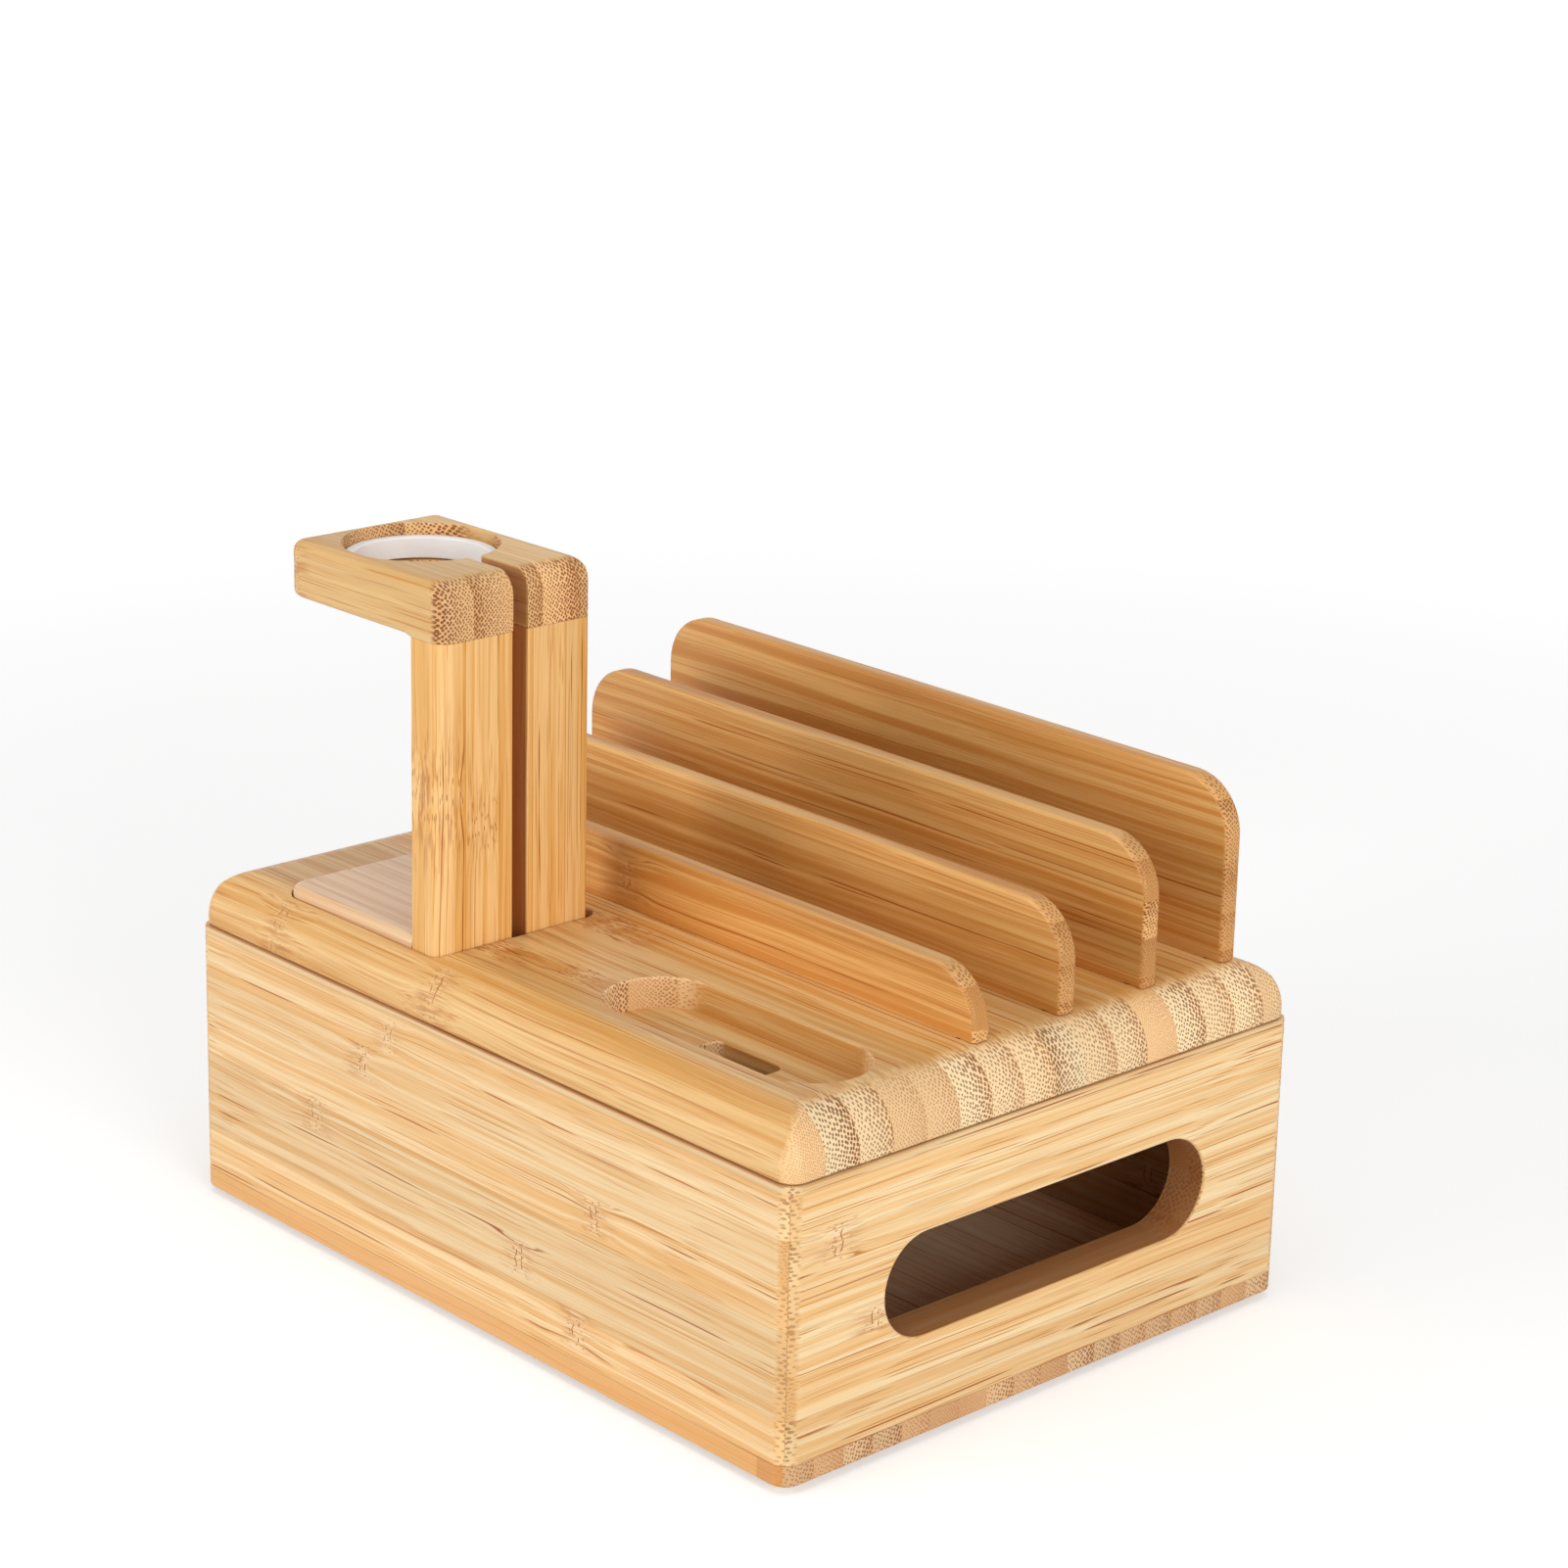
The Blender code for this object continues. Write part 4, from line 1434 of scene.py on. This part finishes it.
@dataclass
class WatchStand:
    """Plate, post and arm of the stand, with the white ring in its bore."""

    left: float = -65.7 * MM
    right: float = -16.2 * MM
    front: float = -58.9 * MM
    back: float = -23.3 * MM
    post_left: float = -25.2 * MM
    foot: float = 61.8 * MM
    plate_top: float = 70.5 * MM
    post_top: float = 129.0 * MM
    arm_base: float = 129.3 * MM
    arm_top: float = 140.7 * MM
    arm_left: float = -63.3 * MM
    corner_radius: float = 3.6 * MM
    plate_edge: float = 1.6 * MM
    arm_edge: float = 2.6 * MM
    arm_under_edge: float = 1.0 * MM
    arm_fade: float = 2.5 * MM
    arm_left_round: float = 3.0 * MM
    arm_left_heel: float = 1.8 * MM
    arm_right_round: float = 4.7 * MM
    back_edge: float = 0.8 * MM
    small_edge: float = 0.35 * MM
    heel: float = 0.2 * MM
    fade_steps: int = 4
    heel_steps: int = 6
    round_steps: int = 14
    groove_front: float = -41.75 * MM
    groove_back: float = -38.25 * MM
    groove_floor: float = -21.7 * MM
    bore_middle: tuple[float, float] = (-45.0 * MM, -41.1 * MM)
    bore_radius: float = 15.1 * MM
    ledge: float = 2.6 * MM
    ledge_level: float = 133.9 * MM
    ring_low: float = 134.2 * MM
    ring_high: float = 138.5 * MM
    ring_outer: float = 14.8 * MM
    ring_wall: float = 2.0 * MM
    ring_edge: float = 0.4 * MM
    ring_steps: int = 96

    def plate(self) -> bpy.types.Object:
        """Build the plate.

        Returns:
            The plate, rounded along its three free edges.
        """
        radii = [self.corner_radius, 0, 0, self.corner_radius]

        def outline(inset: float) -> Outline:
            """Draw the plan; the side that meets the post keeps its place."""
            high = (self.post_left - HAIRLINE + inset, self.back)
            return rounded_rectangle((self.left, self.front), high, radii, inset)

        levels = eased(self.foot, self.plate_top, self.small_edge, self.plate_edge)
        return solid("stand_plate", Plane.PLAN, outline, levels)

    def post(self) -> bpy.types.Object:
        """Build the post.

        Returns:
            The post, with the groove in its right face.
        """
        soft = self.small_edge
        x0, x1, y0, y1 = self.post_left, self.right, self.front, self.back
        front, back, floor = self.groove_front, self.groove_back, self.groove_floor
        big, small = self.corner_radius, self.back_edge

        def outline(inset: float) -> Outline:
            """Draw the plan.

            Args:
                inset: How far the outline moves inward.

            Returns:
                Four outer edges, and the groove with its soft rims.
            """
            points = arc((x0 + soft, y0 + soft), soft - inset, 180, 270, 3)
            points += arc((x1 - big, y0 + big), big - inset, 270, 360, 10)
            points += arc((x1 - soft, front - soft), soft - inset, 0, 90, 4)
            points += [(floor - inset, front - inset), (floor - inset, back + inset)]
            points += arc((x1 - soft, back + soft), soft - inset, 270, 360, 4)
            points += arc((x1 - small, y1 - small), small - inset, 0, 90, 5)
            points += arc((x0 + soft, y1 - soft), soft - inset, 90, 180, 3)
            return points

        levels = eased(self.foot, self.post_top + GAP / 2, self.heel, 0.0)
        return solid("stand_upright", Plane.PLAN, outline, levels)

    def arm_ring(self, level: float) -> list[Vector]:
        """Draw the arm's plan at one level.

        Args:
            level: Height of the ring.

        Returns:
            The ring; its sides follow the roundings of the top and of the free underside.
        """

        def top(radius: float) -> float:
            """Return how far a rounding of the top edge moves the side inward at this level."""
            rise = max(level - (self.arm_top - radius), 0.0)
            return radius - math.sqrt(max(radius**2 - rise**2, 0.0))

        def under(radius: float) -> float:
            """Return the same for a rounding of the lower edge."""
            drop = max(self.arm_base + radius - level, 0.0)
            return radius - math.sqrt(max(radius**2 - min(drop, radius) ** 2, 0.0))

        def side(x: float) -> float:
            """Return the inset of a long side; over the post its lower edge stays sharp."""
            free = min(max((self.post_left - x) / self.arm_fade, 0.0), 1.0)
            return top(self.arm_edge) + free * under(self.arm_under_edge)

        left = max(top(self.arm_left_round), under(self.arm_left_heel))
        right = top(self.arm_right_round)
        low = (self.arm_left + left, self.front)
        high = (self.right - right, self.back)
        edge, corner_radius = (max(radius - right / 2, MM) for radius in (self.arm_edge, self.corner_radius))
        back = max(self.back_edge, edge - self.arm_edge + self.back_edge)
        outline = rounded_rectangle(low, high, [edge, corner_radius, back, edge])
        steps = self.fade_steps
        inner_x = [self.post_left - self.arm_fade * part / steps for part in range(steps + 1)]
        front = [(x, self.front) for x in reversed(inner_x)]
        rear = [(x, self.back) for x in inner_x]
        corner = len(outline) // 4
        points = outline[:corner] + front + outline[corner : 3 * corner] + rear + outline[3 * corner :]
        middle = (self.front + self.back) / 2
        half = (self.back - self.front) / 2
        ring = []
        for x, y in points:
            share = 1 - side(x) / half
            ring.append(Vector((x, middle + (y - middle) * share, level)))
        return ring

    def arm(self) -> bpy.types.Object:
        """Build the arm with its bore, ledge and slot.

        Returns:
            The arm; it is flush with the post, and rounded along its top and free edges.
        """
        base = self.post_top + HAIRLINE + GAP / 2
        levels = []
        for step in range(self.heel_steps + 1):
            angle = math.radians(90 * step / self.heel_steps)
            levels.append(base + self.arm_left_heel * (1 - math.cos(angle)))
        for step in range(self.round_steps + 1):
            angle = math.radians(90 * step / self.round_steps)
            levels.append(self.arm_top - self.arm_right_round * (1 - math.sin(angle)))
        arm = loft("stand_top_arm", [self.arm_ring(level) for level in levels])

        def bore(radius: float) -> Draw:
            """Return a drawing of a circle round the bore's middle."""
            return lambda inset: circle(self.bore_middle, radius - inset, self.ring_steps)

        def slot(inset: float) -> Outline:
            """Draw the slot, which runs out of the arm's right end."""
            low, high = (self.bore_middle[0], self.groove_front), (self.right + OVERRUN, self.groove_back)
            return rounded_rectangle(low, high, [0] * 4, inset, 2)

        narrow = self.bore_radius - self.ledge
        rim, heel, base, seat, top = self.small_edge, self.heel, self.arm_base, self.ledge_level, self.arm_top
        cutters = [
            flared("seat_cutter", Plane.PLAN, bore(self.bore_radius), seat, top, rim),
            flared("ledge_cutter", Plane.PLAN, bore(narrow), base, seat, heel, rim),
            flared("slot_cutter", Plane.PLAN, slot, base, top, rim, heel),
        ]
        carve(arm, cutters)
        return arm

    def ring(self) -> bpy.types.Object:
        """Build the ring.

        Returns:
            The ring, open where the arm's slot passes.
        """
        inner = self.ring_outer - self.ring_wall
        low, high = (inner, self.ring_low), (self.ring_outer, self.ring_high)
        section = rounded_rectangle(low, high, [self.ring_edge] * 4, steps=4)
        x, y = self.bore_middle
        rings = []
        for step in range(self.ring_steps + 1):
            part = step / self.ring_steps
            points = []
            for radius, height in section:
                start = math.asin((self.groove_back - y) / radius)
                end = 2 * math.pi + math.asin((self.groove_front - y) / radius)
                angle = start + (end - start) * part
                points.append(Vector((x + radius * math.cos(angle), y + radius * math.sin(angle), height)))
            rings.append(points)
        return loft("charger_liner", rings)

    def build(self) -> None:
        """Build the stand and fit it to the frame."""
        round_groove, under_face = 0.3, 0.5
        front, back = self.groove_front / MM - round_groove, self.groove_back / MM + round_groove
        floor, right = self.groove_floor / MM - round_groove, self.right / MM - under_face
        base, top, middle = self.arm_base / MM, self.arm_top / MM, self.bore_middle[0] / MM
        # painted shade in the post's groove and the arm's slot
        groove = Hollow((floor, front, self.foot / MM), (right, back, base))
        slot = Hollow((middle, front, base + 0.4), (right, back, top - under_face), 0.5)
        plate = BambooFinish(
            "stand_plate_bamboo",
            Grain.ALONG_X_STACKED_Y,
            strip_width=8.1,
            strip_start=-59.0,
            seed=51.0,
            pale=(0.97, 0.69, 0.41),
            warm=(0.84, 0.50, 0.25),
            lacquer=0.65,
            tone_spread=0.2,
        )
        post = BambooFinish(
            "stand_post_bamboo",
            Grain.ALONG_Z_STACKED_Y,
            strip_width=8.0,
            strip_start=-61.0,
            seed=57.0,
            pale=(0.93, 0.58, 0.24),
            warm=(0.80, 0.42, 0.11),
            layer_start=-25.2,
            streak_strength=0.55,
            seam_depth=0.8,
            knuckles=(Knuckle(99.5, -57.0, 4.2, 3.0, 0.0), Knuckle(93.0, -49.0, 4.0, 1.8, 0.0)),
            hollows=(groove,),
        )
        arm = BambooFinish(
            "stand_arm_bamboo",
            Grain.ALONG_X_STACKED_Y,
            strip_width=8.13,
            strip_start=-59.1,
            seed=63.0,
            kinds=(0.0, 0.1, 0.2, 0.0, 0.15),
            pale=(0.88, 0.57, 0.24),
            warm=(0.78, 0.44, 0.14),
            end_pale=(0.90, 0.54, 0.24),
            end_warm=(0.72, 0.37, 0.13),
            dot=DARK_DOT,
            layer_depth=14.0,
            layer_start=128.0,
            bundle_pitch=0.6,
            streak_strength=0.5,
            knuckles=(Knuckle(-61.5, -59.0, 5.0, 0.8, 0.0),),
            hollows=(slot,),
        )
        silicone = MouldedFinish("white_silicone", (0.97, 0.97, 0.97), (0.94, 0.94, 0.94), 0.5)
        body = "watch_stand"
        fit(self.plate(), body, plate.material(), "bamboo", "stand_base")
        fit(self.post(), body, post.material(), "bamboo", "stand_post")
        fit(self.arm(), body, arm.material(), "bamboo", "stand_arm")
        fit(self.ring(), body, silicone.material(), "white_silicone", "charger_ring")


@dataclass
class HiddenParts:
    """Frame nodes that keep their own shape: feet, battens and dowels."""

    feet: tuple[str, ...] = ("foot_front_left", "foot_front_right", "foot_back_left", "foot_back_right")
    battens: tuple[str, ...] = ("lid_batten_front", "lid_batten_back")
    dowels: tuple[str, ...] = ("base_dowel_front", "base_dowel_back", "arm_dowel_front", "arm_dowel_back")

    def dress(self, names: Iterable[str], material: bpy.types.Material) -> None:
        """Give the nodes a finish.

        Args:
            names: Names of the nodes.
            material: Their finish.
        """
        for name in names:
            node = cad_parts[name]
            for slot in node.material_slots:
                slot.material = material
            log.info("%s: finish %s", name, material.name)

    def build(self) -> None:
        """Dress all hidden nodes."""
        rubber = MouldedFinish("grey_rubber", (0.10, 0.10, 0.10), (0.06, 0.06, 0.06), 0.7)
        batten = BambooFinish(
            "batten_bamboo",
            Grain.ALONG_X_STACKED_Y,
            strip_width=8.0,
            strip_start=-55.3,
            seed=71.0,
        )
        beech = BambooFinish(
            "dowel_beech",
            Grain.ALONG_X_STACKED_Y,
            strip_width=9.0,
            strip_start=-60.0,
            seed=77.0,
            pale=(0.72, 0.52, 0.33),
            warm=(0.64, 0.43, 0.25),
            bundle_pitch=0.5,
            streak_strength=0.2,
        )
        self.dress(self.feet, rubber.material())
        self.dress(self.battens, batten.material())
        self.dress(self.dowels, beech.material())


# ---------------------------------------------------------------- studio


@dataclass
class Studio:
    """Camera, floor, soft lamps and a white world."""

    camera_place: tuple[float, float, float] = (0.529098, -0.479603, 0.319774)
    camera_right: tuple[float, float, float] = (0.67754325, 0.73515091, 0.02209716)
    camera_up: tuple[float, float, float] = (-0.21634868, 0.1705001, 0.96131315)
    camera_ahead: tuple[float, float, float] = (-0.70294266, 0.65611193, -0.27457012)
    lens: float = 89.224
    film: float = 36.0
    clip: tuple[float, float] = (0.01, 50.0)
    shift: tuple[float, float] = (-0.00488, -0.06485)
    floor_size: float = 6.0
    floor_tone: Colour = (0.80, 0.80, 0.80)
    glow_reach: tuple[float, float] = (0.3, 1.3)
    glow: tuple[float, float] = (0.40, 0.92)
    white: Colour = (1.0, 1.0, 1.0)
    sky: float = 0.34
    lamps: tuple[tuple[str, tuple[float, float, float], float, float], ...] = (
        ("right_lamp", (1.7, -0.35, 0.40), 1.1, 19.5),
        ("front_lamp", (-0.60, -1.6, 0.36), 1.1, 16.8),
        ("top_lamp", (0.3, -0.3, 1.9), 1.4, 9.5),
    )
    target: tuple[float, float, float] = (0.0, 0.0, 0.05)

    def camera(self) -> None:
        """Set the camera at the photograph's angle."""
        data = bpy.data.cameras.new("camera")
        data.lens = self.lens
        data.sensor_width = self.film
        data.shift_x, data.shift_y = self.shift
        data.clip_start, data.clip_end = self.clip
        camera = linked("camera", data)
        back = -Vector(self.camera_ahead)
        turn = Matrix((self.camera_right, self.camera_up, back)).transposed()
        camera.matrix_world = Matrix.Translation(self.camera_place) @ turn.to_4x4()
        bpy.context.scene.camera = camera

    def floor(self) -> None:
        """Lay the pale floor, which shows as white but keeps the object's shadow."""
        body = bmesh.new()
        bmesh.ops.create_grid(body, x_segments=1, y_segments=1, size=self.floor_size)
        mesh = bpy.data.meshes.new("floor")
        body.to_mesh(mesh)
        body.free()
        floor = linked("floor", mesh)
        g = MaterialGraph("floor_paper", self.floor_tone)
        away = g.vector("LENGTH", g.place, output="Value")
        glow = g.ease(away, *self.glow_reach, *self.glow)
        looks = {
            "Base Color": self.floor_tone,
            "Roughness": 0.9,
            "Specular IOR Level": 0.0,
            "Emission Color": self.white,
            "Emission Strength": self.seen(g, "Is Camera Ray", "Is Glossy Ray") * glow,
        }
        mesh.materials.append(g.dress(looks))

    def seen(self, g: Graph, *rays: str) -> Value:
        """Return 1 on the kinds of ray that show the backdrop, and 0 on those that only light.

        Args:
            g: Graph of the material or world.
            rays: Names of the kinds.

        Returns:
            The value.
        """
        outputs = g.node("ShaderNodeLightPath").outputs
        value = Value(g, outputs[rays[0]])
        for ray in rays[1:]:
            value = g.math("MAXIMUM", value, Value(g, outputs[ray]))
        return value

    def world(self) -> None:
        """Make the world white to the eye and softer as a light."""
        world = bpy.data.worlds.new("studio")
        world.use_nodes = True
        g = Graph(world.node_tree)
        seen = self.seen(g, "Is Camera Ray", "Is Transmission Ray", "Is Glossy Ray")
        ground = world.node_tree.nodes["Background"].inputs
        g.feed(ground["Color"], self.white)
        g.feed(ground["Strength"], g.math("MAXIMUM", seen, self.sky))
        bpy.context.scene.world = world

    def light(self) -> None:
        """Hang the soft lamps."""
        for name, place, size, power in self.lamps:
            data = bpy.data.lights.new(name, "AREA")
            data.shape = "SQUARE"
            data.size = size
            data.energy = power
            lamp = linked(name, data)
            lamp.location = place
            aim = Vector(self.target) - Vector(place)
            lamp.rotation_euler = aim.to_track_quat("-Z", "Y").to_euler()

    def build(self) -> None:
        """Set up camera, floor, world and lamps."""
        self.camera()
        self.floor()
        self.world()
        self.light()
        bpy.context.scene.view_settings.view_transform = "Standard"


def main() -> None:
    """Build the organizer and its studio."""
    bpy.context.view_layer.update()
    Studio().build()
    BoxShell().build()
    LiftOffLid().build()
    DividerRow().build()
    WatchStand().build()
    HiddenParts().build()


if __name__ == "__main__":
    main()
